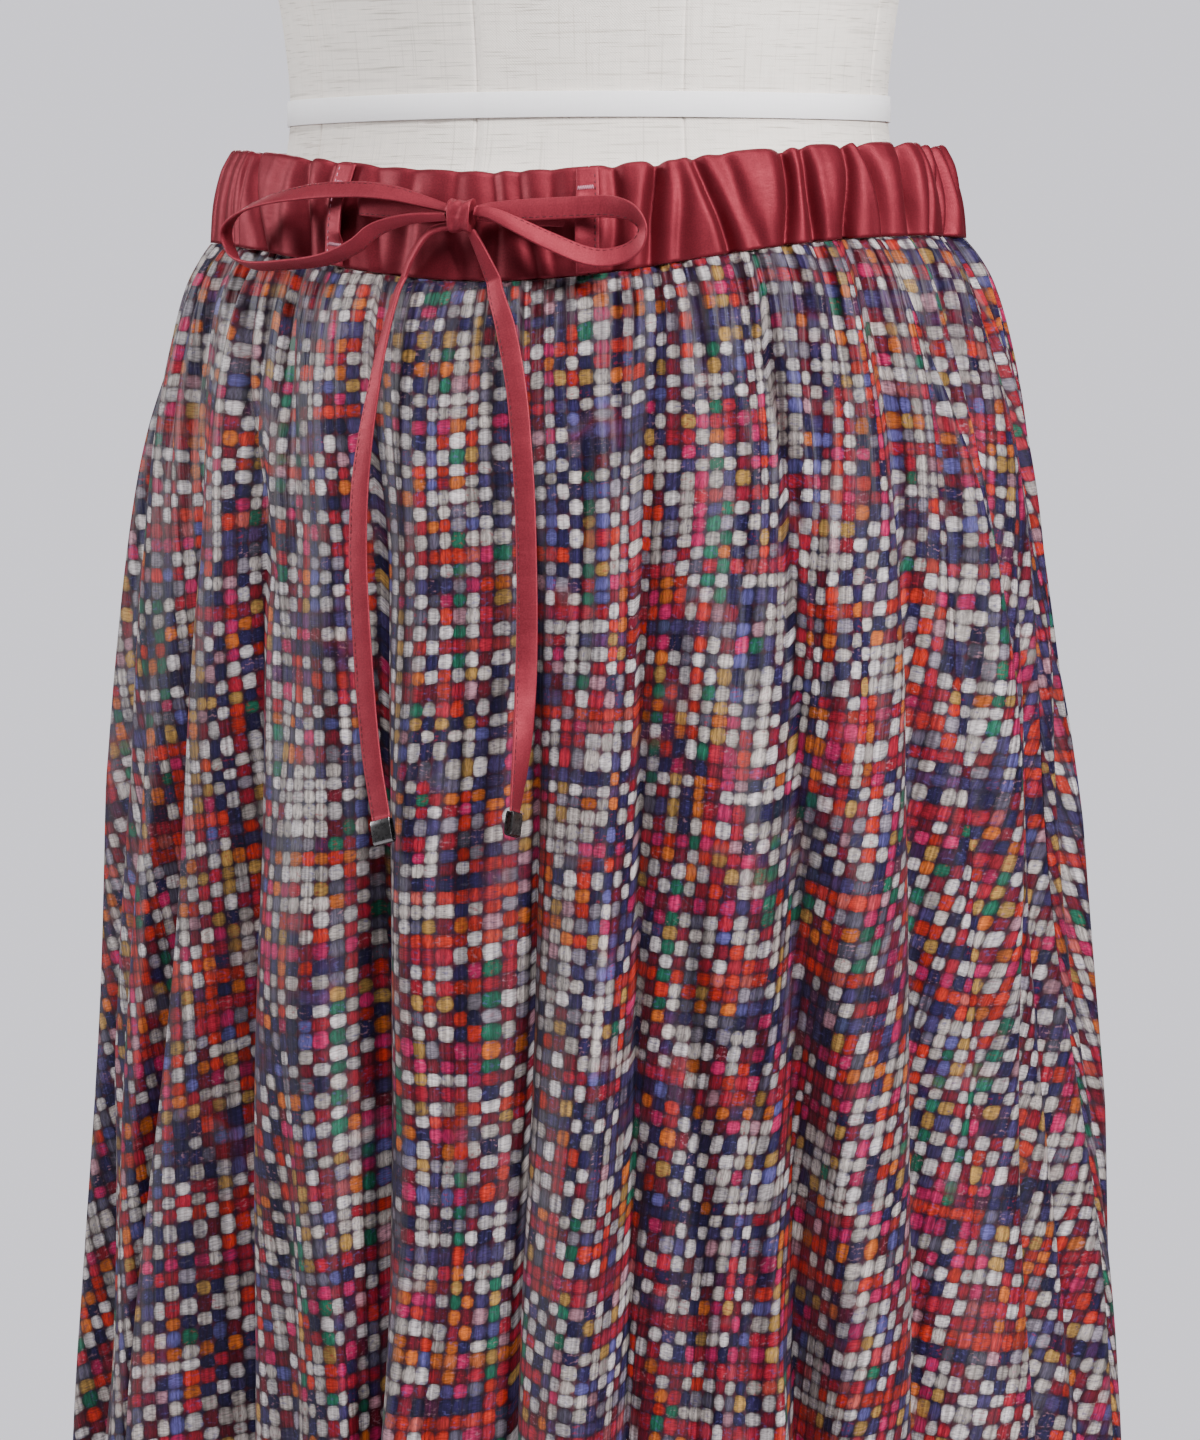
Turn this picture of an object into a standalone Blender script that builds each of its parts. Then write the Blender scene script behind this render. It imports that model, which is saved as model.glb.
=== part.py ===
"""Maxi skirt with an elastic satin waistband and a bow, standing on a limbless dress form.

Metres, +Z up. The skirt's front faces -Y, its wearer's left is +X, and the origin is the
middle of the stand's underside. Tables are in millimetres and degrees.
"""

import math

import bmesh
import bpy
import numpy as np
from mathutils import Vector

MM = 0.001
SEAM_GAP = 0.3 * MM

# Heights
WAIST_HEIGHT = 1.000
HEM_HEIGHT = 0.125
BAND_TOP_SIDE = 0.9870
BAND_TOP_DIP = 0.0115
SEAM_SIDE = 0.9525
SEAM_DIP = 0.0177
DIP_CENTRE = math.radians(6)
DIP_SHARPNESS = 8

# Cloth
BAND_WALL = 2.6 * MM
SKIRT_WALL = 1.5 * MM
SKIRT_REST_GAP = 2.4 * MM
BAND_REST_GAP = 0.5 * MM
BAND_GATHER_DEPTH = 7.4 * MM
FRONT_RIPPLE_DEPTH = 1.5 * MM
BAND_TOP_SCALLOP = 1.6 * MM
SLIT_ANGLE = math.radians(21.8)
SIDE_SEAM_ANGLE = math.radians(90)
HIP_RADIUS, FRONT_RADIUS = 0.190, 0.115

# Tie and its slits
TIE_WIDTH = 7.5 * MM
TIE_THICKNESS = 1.0 * MM
STRIP_WIDTH = 7.0 * MM
STRIP_THICKNESS = 1.0 * MM
STRIP_LIFT = 2.2 * MM
STRIP_SEAT = 0.6 * MM
SLIT_LOW, SLIT_HIGH = 0.22, 0.78
CLAMP_SIZE = (8.2 * MM, 3.4 * MM, 9.2 * MM)
KNOT_SIZE = (11.5 * MM, 9.0 * MM, 10.5 * MM)

# Dress form and stand
TAPE_WIDTH = 9.5 * MM
TAPE_THICKNESS = 0.9 * MM
TORSO_BOTTOM, TORSO_TOP = -0.215, 0.440
ARM_CUT = 0.149
POLE_RADIUS = 12.5 * MM
FLANGE_RADIUS, FLANGE_THICKNESS = 0.055, 8 * MM
BASE_RADIUS, BASE_THICKNESS = 0.170, 14 * MM
HUB_RADIUS, HUB_HEIGHT = 0.034, 36 * MM
CAP_RADIUS = 0.050


def table(columns, *rows):
    """A short table with named columns, as arrays."""
    return dict(zip(columns.split(), np.array(rows, float).T))


# Sections of the dress form, from its waist: the half width, and the depths before and behind
FORM = table(
    "above_waist half_width front back",
    (-215, 155, 108, 116),
    (-207, 160, 113, 121),
    (-180, 164, 118, 126),
    (-130, 159, 115, 121),
    (-90, 149.5, 109, 113),
    (-69, 143.5, 104.3, 107),
    (-48, 136.3, 97.5, 98.5),
    (-17, 118.9, 85.6, 86),
    (0, 117, 84, 84),
    (35, 120.3, 87, 88),
    (90, 134, 103, 97),
    (145, 143, 118, 101),
    (175, 146, 120, 102),
    (215, 150, 113, 102),
    (260, 158, 98, 99),
    (300, 164, 84, 93),
    (330, 163, 73, 85),
    (350, 148, 64, 78),
    (365, 120, 57, 71),
    (380, 86, 51, 66),
    (395, 63, 47, 62),
    (415, 55, 44, 60),
    (440, 53, 43, 59),
)

# The skirt's outermost form below the waist seam, which its ridges reach
ENVELOPE = table(
    "drop half_width front back",
    (0, 148.5, 109, 109.3),
    (5, 153.2, 112, 113),
    (16, 160.0, 116.5, 119),
    (38, 167.3, 122.5, 126.5),
    (71, 175.5, 129, 134),
    (105, 181.2, 133.5, 139.5),
    (171, 188.8, 139, 146),
    (283, 196.0, 149, 155),
    (438, 204.6, 162, 167),
    (827, 229.0, 184, 187),
)

# The waistband leans in from the seam (share 0) to its top edge (share 1)
BAND = table(
    "share half_width front back gather",
    (0.0, 148.5, 109, 109.3, 1.00),
    (0.35, 147.6, 108.4, 108.6, 1.18),
    (0.75, 144.6, 106.0, 106.2, 1.05),
    (1.0, 139.9, 103.0, 103.4, 0.62),
)

# How deep the folds and the gathers are below the waist seam
DEPTHS = table(
    "drop fold gather",
    (0, 0, 7.4),
    (16, 2.0, 7.6),
    (45, 5.5, 5.6),
    (90, 10.5, 2.6),
    (150, 13.5, 0.8),
    (230, 17, 0),
    (380, 21, 0),
    (600, 26, 0),
    (827, 31, 0),
)

# Valleys between the skirt's folds: where each runs, and the ridge that follows it.
# The share is how far that ridge stands out, and the lean is how far it tips sideways.
FOLDS = table(
    "at_seam at_hip at_hem share lean",
    (-168, -170, -172, 0.90, 0.3),
    (-150, -151, -150, 0.95, -0.4),
    (-131, -131, -132, 0.80, 0.5),
    (-112, -110, -111, 1.00, -0.3),
    (-92, -90, -88, 0.85, 0.4),
    (-70, -68, -69, 1.00, 0.5),
    (-51, -48, -48, 0.95, -0.5),
    (-32, -28, -30, 0.90, 0.4),
    (-14, -12, -14, 0.80, -0.3),
    (12, 16, 14, 0.85, 0.3),
    (30, 33, 33, 0.95, 0.6),
    (44, 47, 52, 0.80, -0.4),
    (60, 64, 69, 1.00, 0.5),
    (80, 84, 87, 0.95, 0.6),
    (103, 106, 107, 0.90, -0.4),
    (124, 126, 127, 1.00, 0.3),
    (146, 148, 148, 0.85, -0.5),
    (167, 168, 167, 0.95, 0.4),
)
HIP_DROP = 0.120
FOLD_TIP = 0.45

# Gathers run on around the elastic part in this cycle of uneven spacings, heights and leans
FIRST_GATHER, LAST_GATHER = 24.7, 335.0
GATHER_SPACING = (5.7, 3.8, 5.0, 4.0, 10.4, 4.4, 8.0, 5.9, 4.5, 5.9, 7.2)
GATHER_SHARE = (0.95, 0.7, 1.0, 0.75, 0.85, 1.0, 0.8, 0.95, 0.65, 1.0, 0.8, 0.9, 0.7)
GATHER_LEAN = (1.0, 2.2, -0.6, 1.6, 0.4, -1.4, 0.9, 1.8, -0.8)
FRONT_RIPPLES = (-25.0, -15.0, -4.5, 5.0, 14.0)

# Routes of the tie: distance around from the centre front (the wearer's left is plus), height,
# stand-off from the cloth's outermost form, twist off lying flat, and width, in mm and degrees
ROUTE = "around height off twist width"
LEAD_L = table(
    ROUTE,
    (50.0, 958.0, 1.1, 0, 7.5),
    (40, 958.4, 1.4, 0, 7.5),
    (27, 958.8, 1.6, 0, 7.5),
    (17, 958.8, 2.4, 5, 5.0),
    (12.0, 958.6, 4.4, 10, 3.4),
)
LEAD_R = table(
    ROUTE,
    (-50.0, 962.5, 1.1, 0, 7.5),
    (-36, 962.2, 1.4, 0, 7.5),
    (-20, 961.2, 1.6, 0, 7.5),
    (-6, 959.8, 2.2, 5, 5.0),
    (-0.2, 959.4, 4.0, 10, 3.4),
)
LOOP_R = table(
    ROUTE,
    (-0.2, 962.2, 7.0, 20, 3.0),
    (-8, 965.0, 6.5, 25, 4.5),
    (-22, 968.5, 7.0, 25, 6.0),
    (-38, 970.5, 7.5, 20, 7.0),
    (-59, 970.3, 8.5, 25, 6.5),
    (-80, 968.0, 10.0, 45, 5.5),
    (-94, 963.0, 11.5, 60, 4.8),
    (-101, 956.5, 12.0, 70, 4.6),
    (-101, 950.0, 11.0, 70, 4.6),
    (-95, 945.0, 10.0, 60, 4.8),
    (-84, 942.4, 9.0, 60, 4.8),
    (-68, 942.2, 8.0, 60, 4.8),
    (-50, 943.8, 8.0, 55, 4.8),
    (-37, 947.8, 8.0, 50, 5.0),
    (-28, 954.0, 8.5, 45, 5.0),
    (-15, 957.6, 8.5, 40, 4.2),
    (-0.2, 958.0, 8.0, 30, 3.0),
)
LOOP_L = table(
    ROUTE,
    (12.2, 962.2, 6.8, -10, 3.0),
    (18, 963.4, 6.0, -14, 5.0),
    (30, 964.6, 6.5, -16, 7.5),
    (46, 965.0, 7.5, -12, 7.5),
    (60, 964.4, 9.5, 0, 7.5),
    (70, 961.0, 12.0, 40, 7.0),
    (74, 955.0, 13.5, 75, 6.5),
    (72, 947.5, 13.0, 55, 7.0),
    (65, 942.2, 11.5, 35, 7.5),
    (53, 943.2, 10.5, 28, 7.5),
    (39, 949.8, 10.0, 25, 7.0),
    (25, 956.0, 9.0, 22, 6.0),
    (12.2, 959.0, 8.2, 15, 3.2),
)
TAIL_L = table(
    ROUTE,
    (9.6, 953.2, 5.8, 10, 3.2),
    (13.5, 945, 4.5, 14, 5.0),
    (19.5, 931, 2.8, 10, 7.0),
    (26.5, 916, 2.2, 0, 7.5),
    (33.5, 893, 2.2, 0, 7.5),
    (39.0, 862, 2.2, 0, 7.5),
    (42.0, 832, 2.2, 0, 7.5),
    (43.3, 800, 2.2, 0, 7.5),
    (43.3, 768, 2.4, -10, 7.5),
    (41.8, 742.5, 2.8, -24, 7.4),
)
TAIL_R = table(
    ROUTE,
    (0.5, 955.0, 5.2, 30, 3.0),
    (-7, 953.0, 5.0, 45, 4.5),
    (-13, 947.0, 4.4, 40, 5.0),
    (-18.5, 936.5, 3.4, 30, 6.0),
    (-21.5, 921, 2.6, 12, 7.0),
    (-24.5, 897, 2.2, 0, 7.5),
    (-26.8, 865, 2.2, 0, 7.5),
    (-26, 835, 2.2, 0, 7.5),
    (-22.5, 800, 2.2, 0, 7.5),
    (-18.5, 765, 2.4, 0, 7.5),
    (-13.5, 740.5, 2.8, 0, 7.4),
)
KNOT_PLACE = (6.0, 958.6, 6.4)


def smooth(x, xs, ys):
    """A curve through a table's points that doesn't overshoot them (monotone cubic)."""
    xs, ys = np.asarray(xs, float), np.asarray(ys, float)
    x = np.clip(x, xs[0], xs[-1])
    step = np.diff(xs)
    slope = np.diff(ys) / step
    at = np.zeros_like(ys)
    same = slope[:-1] * slope[1:] > 0
    pair = np.where(same, slope[:-1] + slope[1:], 1.0)
    at[1:-1] = np.where(same, 2 * slope[:-1] * slope[1:] / pair, 0.0)
    at[0], at[-1] = slope[0], slope[-1]
    k = np.clip(np.searchsorted(xs, x, side="right") - 1, 0, len(step) - 1)
    t = (x - xs[k]) / step[k]
    a, b = (1 + 2 * t) * (1 - t) ** 2, t * t * (3 - 2 * t)
    c, d = t * (1 - t) ** 2, t * t * (t - 1)
    return a * ys[k] + b * ys[k + 1] + step[k] * (c * at[k] + d * at[k + 1])


def read(rows, by, value, names):
    """The named columns of a table at a value of its first column, in metres."""
    return [smooth(value, rows[by], rows[name]) * MM for name in names]


def ring_point(angle, half_width, front, back, out=0.0):
    """A point on an oval section, and the way out of it. Angle 0 is the front."""
    depth = np.where(np.cos(angle) > 0, front, back)
    point = np.array([half_width * np.sin(angle), -depth * np.cos(angle)])
    normal = np.array([np.sin(angle) / half_width, -np.cos(angle) / depth])
    normal = normal / np.hypot(*normal)
    return point + normal * out, normal


def dip(angle):
    """How far round to the front a place on the waist is: 1 where it hangs lowest."""
    return ((1 + np.cos(angle - DIP_CENTRE)) / 2) ** DIP_SHARPNESS


def band_top(angle):
    return BAND_TOP_SIDE - BAND_TOP_DIP * dip(angle)


def seam_height(angle):
    return SEAM_SIDE - SEAM_DIP * dip(angle)


def gather_valleys():
    """Angles of the creases between gathers, once round from the front, in degrees."""
    valleys = [FIRST_GATHER]
    k = 0
    while valleys[-1] + GATHER_SPACING[k % len(GATHER_SPACING)] < LAST_GATHER - 2:
        valleys.append(valleys[-1] + GATHER_SPACING[k % len(GATHER_SPACING)])
        k += 1
    ripples = [angle for angle in FRONT_RIPPLES if angle > FRONT_RIPPLES[0]]
    return np.array([LAST_GATHER - 360, *ripples, *valleys, LAST_GATHER])


VALLEYS = gather_valleys()


def crest(t):
    """A fold's section from valley (0) over its ridge to the next valley (1): round on top."""
    return np.sin(np.pi * t) ** 0.9


def gather(angle, lean_share):
    """How far a gather stands out at an angle, from 0 to its own height."""
    degrees = (np.degrees(angle) - VALLEYS[0]) % 360 + VALLEYS[0]
    k = int(np.searchsorted(VALLEYS, degrees, side="right")) - 1
    k = min(max(k, 0), len(VALLEYS) - 2)
    t = (degrees - VALLEYS[k]) / (VALLEYS[k + 1] - VALLEYS[k])
    lean = GATHER_LEAN[k % len(GATHER_LEAN)] * lean_share
    t = np.clip(t + 0.10 * lean * np.sin(np.pi * t), 0, 1)
    return crest(t) * GATHER_SHARE[k % len(GATHER_SHARE)]


def elastic(angle):
    """1 round the elastic part of the waist, and less over the flat front panel."""
    off = abs((math.degrees(angle) + 180) % 360 - 180)
    t = min(max((off - 19) / 14, 0), 1)
    flat = FRONT_RIPPLE_DEPTH / BAND_GATHER_DEPTH
    return flat + (1 - flat) * t * t * (3 - 2 * t)


def fold_lines(drop):
    """Angles of the valleys between folds at a distance below the seam, in degrees."""
    if drop < HIP_DROP:
        return FOLDS["at_seam"] + (FOLDS["at_hip"] - FOLDS["at_seam"]) * drop / HIP_DROP
    down = (drop - HIP_DROP) / (WAIST_HEIGHT - HEM_HEIGHT - HIP_DROP)
    return FOLDS["at_hip"] + (FOLDS["at_hem"] - FOLDS["at_hip"]) * down


def fold(angle, drop):
    """How far a fold stands out at an angle, and how far it tips sideways there."""
    lines = fold_lines(drop)
    lines = np.append(lines, lines[0] + 360)
    degrees = (math.degrees(angle) - lines[0]) % 360 + lines[0]
    k = min(int(np.searchsorted(lines, degrees, side="right")) - 1, len(lines) - 2)
    t = (degrees - lines[k]) / (lines[k + 1] - lines[k])
    return crest(t) * FOLDS["share"][k], FOLDS["lean"][k] * math.sin(math.pi * t) ** 2


def rest_on_form(point, height, room):
    """Brings a point of the cloth's outside out to where it has this much room over the form."""
    above = height - WAIST_HEIGHT
    half_width, front, back = read(FORM, "above_waist", above / MM, ("half_width", "front", "back"))
    depth = front if point[1] < 0 else back
    reach = math.hypot(point[0] / (half_width + room), point[1] / (depth + room))
    below = min(max((TORSO_BOTTOM - above) / 0.06, 0), 1)
    return point * (1 + (1 / min(reach, 1) - 1) * (1 - below))


def skirt_point(angle, share):
    """A point on the skirt's outside, its share of the way from waist seam to hem."""
    top = seam_height(angle) - SEAM_GAP
    drop = share * (top - HEM_HEIGHT)
    half_width, front, back = read(ENVELOPE, "drop", drop / MM, ("half_width", "front", "back"))
    fold_depth, gather_depth = read(DEPTHS, "drop", drop / MM, ("fold", "gather"))
    out, tip = fold(angle, drop)
    sink = fold_depth * (1 - out) + gather_depth * elastic(angle) * (1 - gather(angle, -0.4))
    point, normal = ring_point(angle, half_width, front, back, -sink)
    along = np.array([-normal[1], normal[0]]) * tip * fold_depth * FOLD_TIP
    point = rest_on_form(point + along, top - drop, SKIRT_WALL + SKIRT_REST_GAP)
    return Vector((*point, top - drop)), Vector((*normal, 0))


def band_point(angle, share):
    """A point on the waistband's outside, its share of the way from seam to top edge."""
    half_width, front, back = read(BAND, "share", share, ("half_width", "front", "back"))
    swell = float(smooth(share, BAND["share"], BAND["gather"]))
    out = gather(angle, share)
    depth = BAND_GATHER_DEPTH * elastic(angle) * swell
    point, normal = ring_point(angle, half_width, front, back, -depth * (1 - out))
    top = band_top(angle) + BAND_TOP_SCALLOP * elastic(angle) * (out - 1)
    low = seam_height(angle)
    height = low + share * (top - low)
    point = rest_on_form(point, height, BAND_WALL + BAND_REST_GAP)
    return Vector((*point, height)), Vector((*normal, 0))


def outermost(angle, height):
    """The garment's outermost point at an angle and height, clear of every fold."""
    low = seam_height(angle)
    if height > low:
        share = (height - low) / (band_top(angle) - low)
        sizes = read(BAND, "share", share, ("half_width", "front", "back"))
    else:
        sizes = read(ENVELOPE, "drop", (low - height) / MM, ("half_width", "front", "back"))
    point, normal = ring_point(angle, *sizes)
    return Vector((*point, height)), Vector((*normal, 0))


def angle_at(around, height):
    """The angle that lies a distance around the outermost form from the centre front."""
    step = math.copysign(math.radians(0.5), around)
    angle, gone = 0.0, 0.0
    last = outermost(0, height)[0]
    while True:
        here = outermost(angle + step, height)[0]
        more = (here - last).length
        if gone + more >= abs(around):
            return angle + step * (abs(around) - gone) / more
        angle, gone, last = angle + step, gone + more, here


def add_object(name, points, faces, colour, roughness, metallic=0.0, flat=False):
    """A named object of points and faces, with a material of its own."""
    mesh = bpy.data.meshes.new(name)
    mesh.from_pydata([tuple(p) for p in points], [], faces)
    mesh.validate()
    obj = bpy.data.objects.new(name, mesh)
    bpy.context.scene.collection.objects.link(obj)
    body = bmesh.new()
    body.from_mesh(mesh)
    bmesh.ops.recalc_face_normals(body, faces=body.faces)
    body.to_mesh(mesh)
    body.free()
    if not flat:
        mesh.shade_smooth()
        mesh.set_sharp_from_angle(angle=math.radians(40))
    dress(obj, colour, roughness, metallic)
    return obj


def dress(obj, colour, roughness, metallic=0.0):
    """Gives an object its material."""
    material = bpy.data.materials.new(obj.name)
    material.use_nodes = True
    shader = material.node_tree.nodes["Principled BSDF"]
    shader.inputs["Base Color"].default_value = (*colour, 1)
    shader.inputs["Roughness"].default_value = roughness
    shader.inputs["Metallic"].default_value = metallic
    obj.data.materials.append(material)


SATIN = ((0.31, 0.070, 0.085), 0.38)
PRINT = ((0.28, 0.16, 0.19), 0.75)
LINEN = ((0.66, 0.62, 0.58), 0.85)
TAPE = ((0.80, 0.78, 0.80), 0.8)
STEEL = ((0.45, 0.45, 0.46), 0.3)
WOOD = ((0.55, 0.38, 0.22), 0.5)


def cloth_wall(name, rows, thickness, finish, half_below=None):
    """A wall of cloth. Its rows hold (point, way out) pairs of the outside, from the top down,
    and the inside is those points moved in. Rows from half_below on keep every second column."""
    half_below = len(rows) if half_below is None else half_below
    points, outer, inner = [], [], []
    for side, store in ((0.0, outer), (thickness, inner)):
        for r, row in enumerate(rows):
            kept = row if r < half_below else row[::2]
            store.append(list(range(len(points), len(points) + len(kept))))
            points += [p - n * side for p, n in kept]
    faces = []
    for layer in (outer, inner):
        for high, low in zip(layer, layer[1:]):
            if len(high) == len(low):
                faces += [
                    (high[c], high[c + 1], low[c + 1], low[c]) for c in range(len(low) - 1)
                ]
            else:
                for c in range(len(low) - 1):
                    left, middle, right = high[2 * c : 2 * c + 3]
                    faces += [(left, middle, low[c]), (middle, low[c + 1], low[c])]
                    faces += [(middle, right, low[c + 1])]
    for edge in (0, -1):
        pairs = list(zip(outer[edge], inner[edge]))
        faces += [(a[0], b[0], b[1], a[1]) for a, b in zip(pairs, pairs[1:])]
        ends = [(o[edge], i[edge]) for o, i in zip(outer, inner)]
        faces += [(a[0], b[0], b[1], a[1]) for a, b in zip(ends, ends[1:])]
    return add_object(name, points, faces, *finish)


def column_angles(start, end):
    """Angles of the wall's columns from start to end, in radians: each gather's valley and the two
    shoulders of its ridge. The count is odd, so that every second one keeps both edges."""
    marks = []
    for low, high in zip(VALLEYS, VALLEYS[1:]):
        marks += [low + (high - low) * t for t in (0, 0.34, 0.66)]
    marks = np.radians(np.concatenate([np.array(marks) - 360, marks, np.array(marks) + 360]))
    clear = math.radians(0.8)
    inside = [a for a in marks if start + clear < a < end - clear]
    if len(inside) % 2 == 0:
        gaps = np.diff(inside)
        widest = int(np.argmax(gaps))
        inside.insert(widest + 1, (inside[widest] + inside[widest + 1]) / 2)
    return [start, *inside, end]


def build_skirt():
    """The front and back panels, which meet at the side seams."""
    drops = (0, 8, 22, 45, 85, 140, 215, 310, 420, 545, 690, 827)
    half_below = 5
    trim = SEAM_GAP / 2 / HIP_RADIUS
    panels = {
        "skirt_front": (-SIDE_SEAM_ANGLE + trim, SIDE_SEAM_ANGLE - trim),
        "skirt_back": (SIDE_SEAM_ANGLE + trim, 2 * math.pi - SIDE_SEAM_ANGLE - trim),
    }
    for name, (start, end) in panels.items():
        angles = column_angles(start, end)
        rows = [[skirt_point(a, drop / drops[-1]) for a in angles] for drop in drops]
        cloth_wall(name, rows, SKIRT_WALL, PRINT, half_below)


def build_waistband():
    """The flat front panel between the slits, and the gathered part round the sides and back."""
    shares = (1, 0.72, 0.36, 0)
    trim = SEAM_GAP / 2 / FRONT_RADIUS
    panels = {
        "waistband_front": (-SLIT_ANGLE + trim, SLIT_ANGLE - trim),
        "waistband_back": (SLIT_ANGLE + trim, 2 * math.pi - SLIT_ANGLE - trim),
    }
    for name, (start, end) in panels.items():
        angles = column_angles(start, end)
        rows = [[band_point(a, share) for a in angles] for share in shares]
        cloth_wall(name, rows, BAND_WALL, SATIN)


def build_slit_strips():
    """A folded strip over each slit. Its inner edge lifts between the tacks to let the tie out."""
    shares = (0.985, SLIT_HIGH, 0.66, 0.5, 0.34, SLIT_LOW, 0.015)
    lifts = (0, 0, 0.8, 1, 0.8, 0, 0)
    for name, side in (("slit_strip_l", 1), ("slit_strip_r", -1)):
        rows = []
        for share, lift in zip(shares, lifts):
            row = []
            for across in (-0.5, 0, 0.5):
                angle = side * (SLIT_ANGLE - across * STRIP_WIDTH / FRONT_RADIUS)
                height = seam_height(angle)
                height += share * (band_top(angle) - height)
                place, normal = outermost(angle, height)
                off = STRIP_SEAT + STRIP_THICKNESS + STRIP_LIFT * lift * (across + 0.5)
                row.append((place + normal * off, normal))
            rows.append(row if side > 0 else row[::-1])
        cloth_wall(name, rows, STRIP_THICKNESS, SATIN)


def route(rows, stations):
    """Places along a tie's route, evenly counted, with the way along, across and out there."""
    count = len(rows["around"])
    at = np.linspace(0, count - 1, stations)
    around, height, off, twist, width = (
        smooth_through(rows[name], at) for name in ROUTE.split()
    )
    places, outs = [], []
    for k in range(stations):
        angle = angle_at(around[k] * MM, height[k] * MM)
        place, normal = outermost(angle, height[k] * MM)
        places.append(place + normal * off[k] * MM)
        outs.append(normal)
    frames = []
    for k, place in enumerate(places):
        along = places[min(k + 1, stations - 1)] - places[max(k - 1, 0)]
        along.normalize()
        across = outs[k].cross(along).normalized()
        out = along.cross(across).normalized()
        turn = math.radians(twist[k])
        across, out = (
            across * math.cos(turn) + out * math.sin(turn),
            out * math.cos(turn) - across * math.sin(turn),
        )
        frames.append((place, across, out, width[k] * MM))
    return frames


def smooth_through(values, at):
    """A soft curve through evenly counted values (Catmull-Rom), read at places between them."""
    v = np.concatenate([[2 * values[0] - values[1]], values, [2 * values[-1] - values[-2]]])
    k = np.clip(np.floor(at).astype(int), 0, len(values) - 2)
    t = at - k
    a, b, c, d = v[k], v[k + 1], v[k + 2], v[k + 3]
    return b + 0.5 * t * (c - a + t * (2 * a - 5 * b + 4 * c - d + t * (3 * (b - c) + d - a)))


def add_ribbon(name, rows, stations):
    """A flat ribbon along a route, with slightly rounded faces."""
    section = ((-0.5, 0), (-0.4, 0.5), (0.4, 0.5), (0.5, 0), (0.4, -0.5), (-0.4, -0.5))
    points, faces = [], []
    for place, across, out, width in route(rows, stations):
        points += [place + across * width * u + out * TIE_THICKNESS * v for u, v in section]
    sides = len(section)
    for k in range(stations - 1):
        for s in range(sides):
            a, b = k * sides + s, k * sides + (s + 1) % sides
            faces.append((a, b, b + sides, a + sides))
    faces.append(tuple(range(sides)))
    faces.append(tuple(range((stations - 1) * sides, stations * sides)))
    return add_object(name, points, faces, *SATIN)


def rounded_block(name, size, finish, metallic=0.0, power=3.2, around=12, levels=6):
    """A closed block with soft edges (a superellipsoid), centred on its origin."""
    def bend(value, exponent):
        return math.copysign(abs(value) ** exponent, value)

    points, faces = [Vector((0, 0, -size[2] / 2))], []
    for level in range(1, levels):
        tilt = math.pi * (level / levels - 0.5)
        for step in range(around):
            turn = 2 * math.pi * step / around
            flat = bend(math.cos(tilt), 2 / power)
            x = flat * bend(math.cos(turn), 2 / power)
            y = flat * bend(math.sin(turn), 2 / power)
            z = bend(math.sin(tilt), 2 / power)
            points.append(Vector((x * size[0], y * size[1], z * size[2])) / 2)
    points.append(Vector((0, 0, size[2] / 2)))
    last = len(points) - 1
    for step in range(around):
        after = (step + 1) % around
        faces.append((0, 1 + after, 1 + step))
        faces.append((last, last - around + step, last - around + after))
        for level in range(levels - 2):
            a, b = 1 + level * around + step, 1 + level * around + after
            faces.append((a, b, b + around, a + around))
    return add_object(name, points, faces, *finish, metallic)


def place_on(obj, place, across, out):
    """Moves an object so that its X lies across and its -Y points out."""
    across, back = across.normalized(), -out.normalized()
    up = across.cross(back)
    matrix = obj.matrix_world.copy()
    for column, axis in enumerate((across, back, up)):
        for row in range(3):
            matrix[row][column] = axis[row]
    matrix.translation = place
    obj.matrix_world = matrix


def build_tie():
    """The tie: two leads out of the slits, the knot, two loops, two tails and their metal ends."""
    add_ribbon("tie_lead_l", LEAD_L, 7)
    add_ribbon("tie_lead_r", LEAD_R, 7)
    add_ribbon("tie_loop_l", LOOP_L, 27)
    add_ribbon("tie_loop_r", LOOP_R, 33)
    for name, rows in (("l", TAIL_L), ("r", TAIL_R)):
        add_ribbon(f"tie_tail_{name}", rows, 21)
        place, across, out, _ = route(rows, 21)[-1]
        before = route(rows, 21)[-2][0]
        along = (place - before).normalized()
        clamp = rounded_block(f"tie_end_{name}", CLAMP_SIZE, STEEL, 1.0, 12, 16, 6)
        middle = place + along * (CLAMP_SIZE[2] / 2 + SEAM_GAP)
        if (across.cross(-out)).dot(along) > 0:
            across = -across
        place_on(clamp, middle, across, out)
    around, height, off = KNOT_PLACE
    angle = angle_at(around * MM, height * MM)
    place, out = outermost(angle, height * MM)
    knot = rounded_block("tie_knot", KNOT_SIZE, SATIN)
    place_on(knot, place + out * off * MM, Vector((-out.y, out.x, 0)), out)


def form_ring(height, angles, out=0.0):
    """Points round the dress form at a height above its waist, moved out by a distance."""
    half_width, front, back = read(FORM, "above_waist", height / MM, ("half_width", "front", "back"))
    return [
        Vector((*ring_point(a, half_width, front, back, out)[0], WAIST_HEIGHT + height))
        for a in angles
    ]


FORM_ANGLES = [2 * math.pi * k / 30 for k in range(30)]


def add_loft(name, rings, finish):
    """A closed solid through rings of points, with flat ends."""
    sides = len(rings[0])
    points = [p for ring in rings for p in ring]
    faces = [tuple(range(sides)), tuple(range(len(points) - sides, len(points)))]
    for r in range(len(rings) - 1):
        for s in range(sides):
            a, b = r * sides + s, r * sides + (s + 1) % sides
            faces.append((a, b, b + sides, a + sides))
    return add_object(name, points, faces, *finish)


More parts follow.
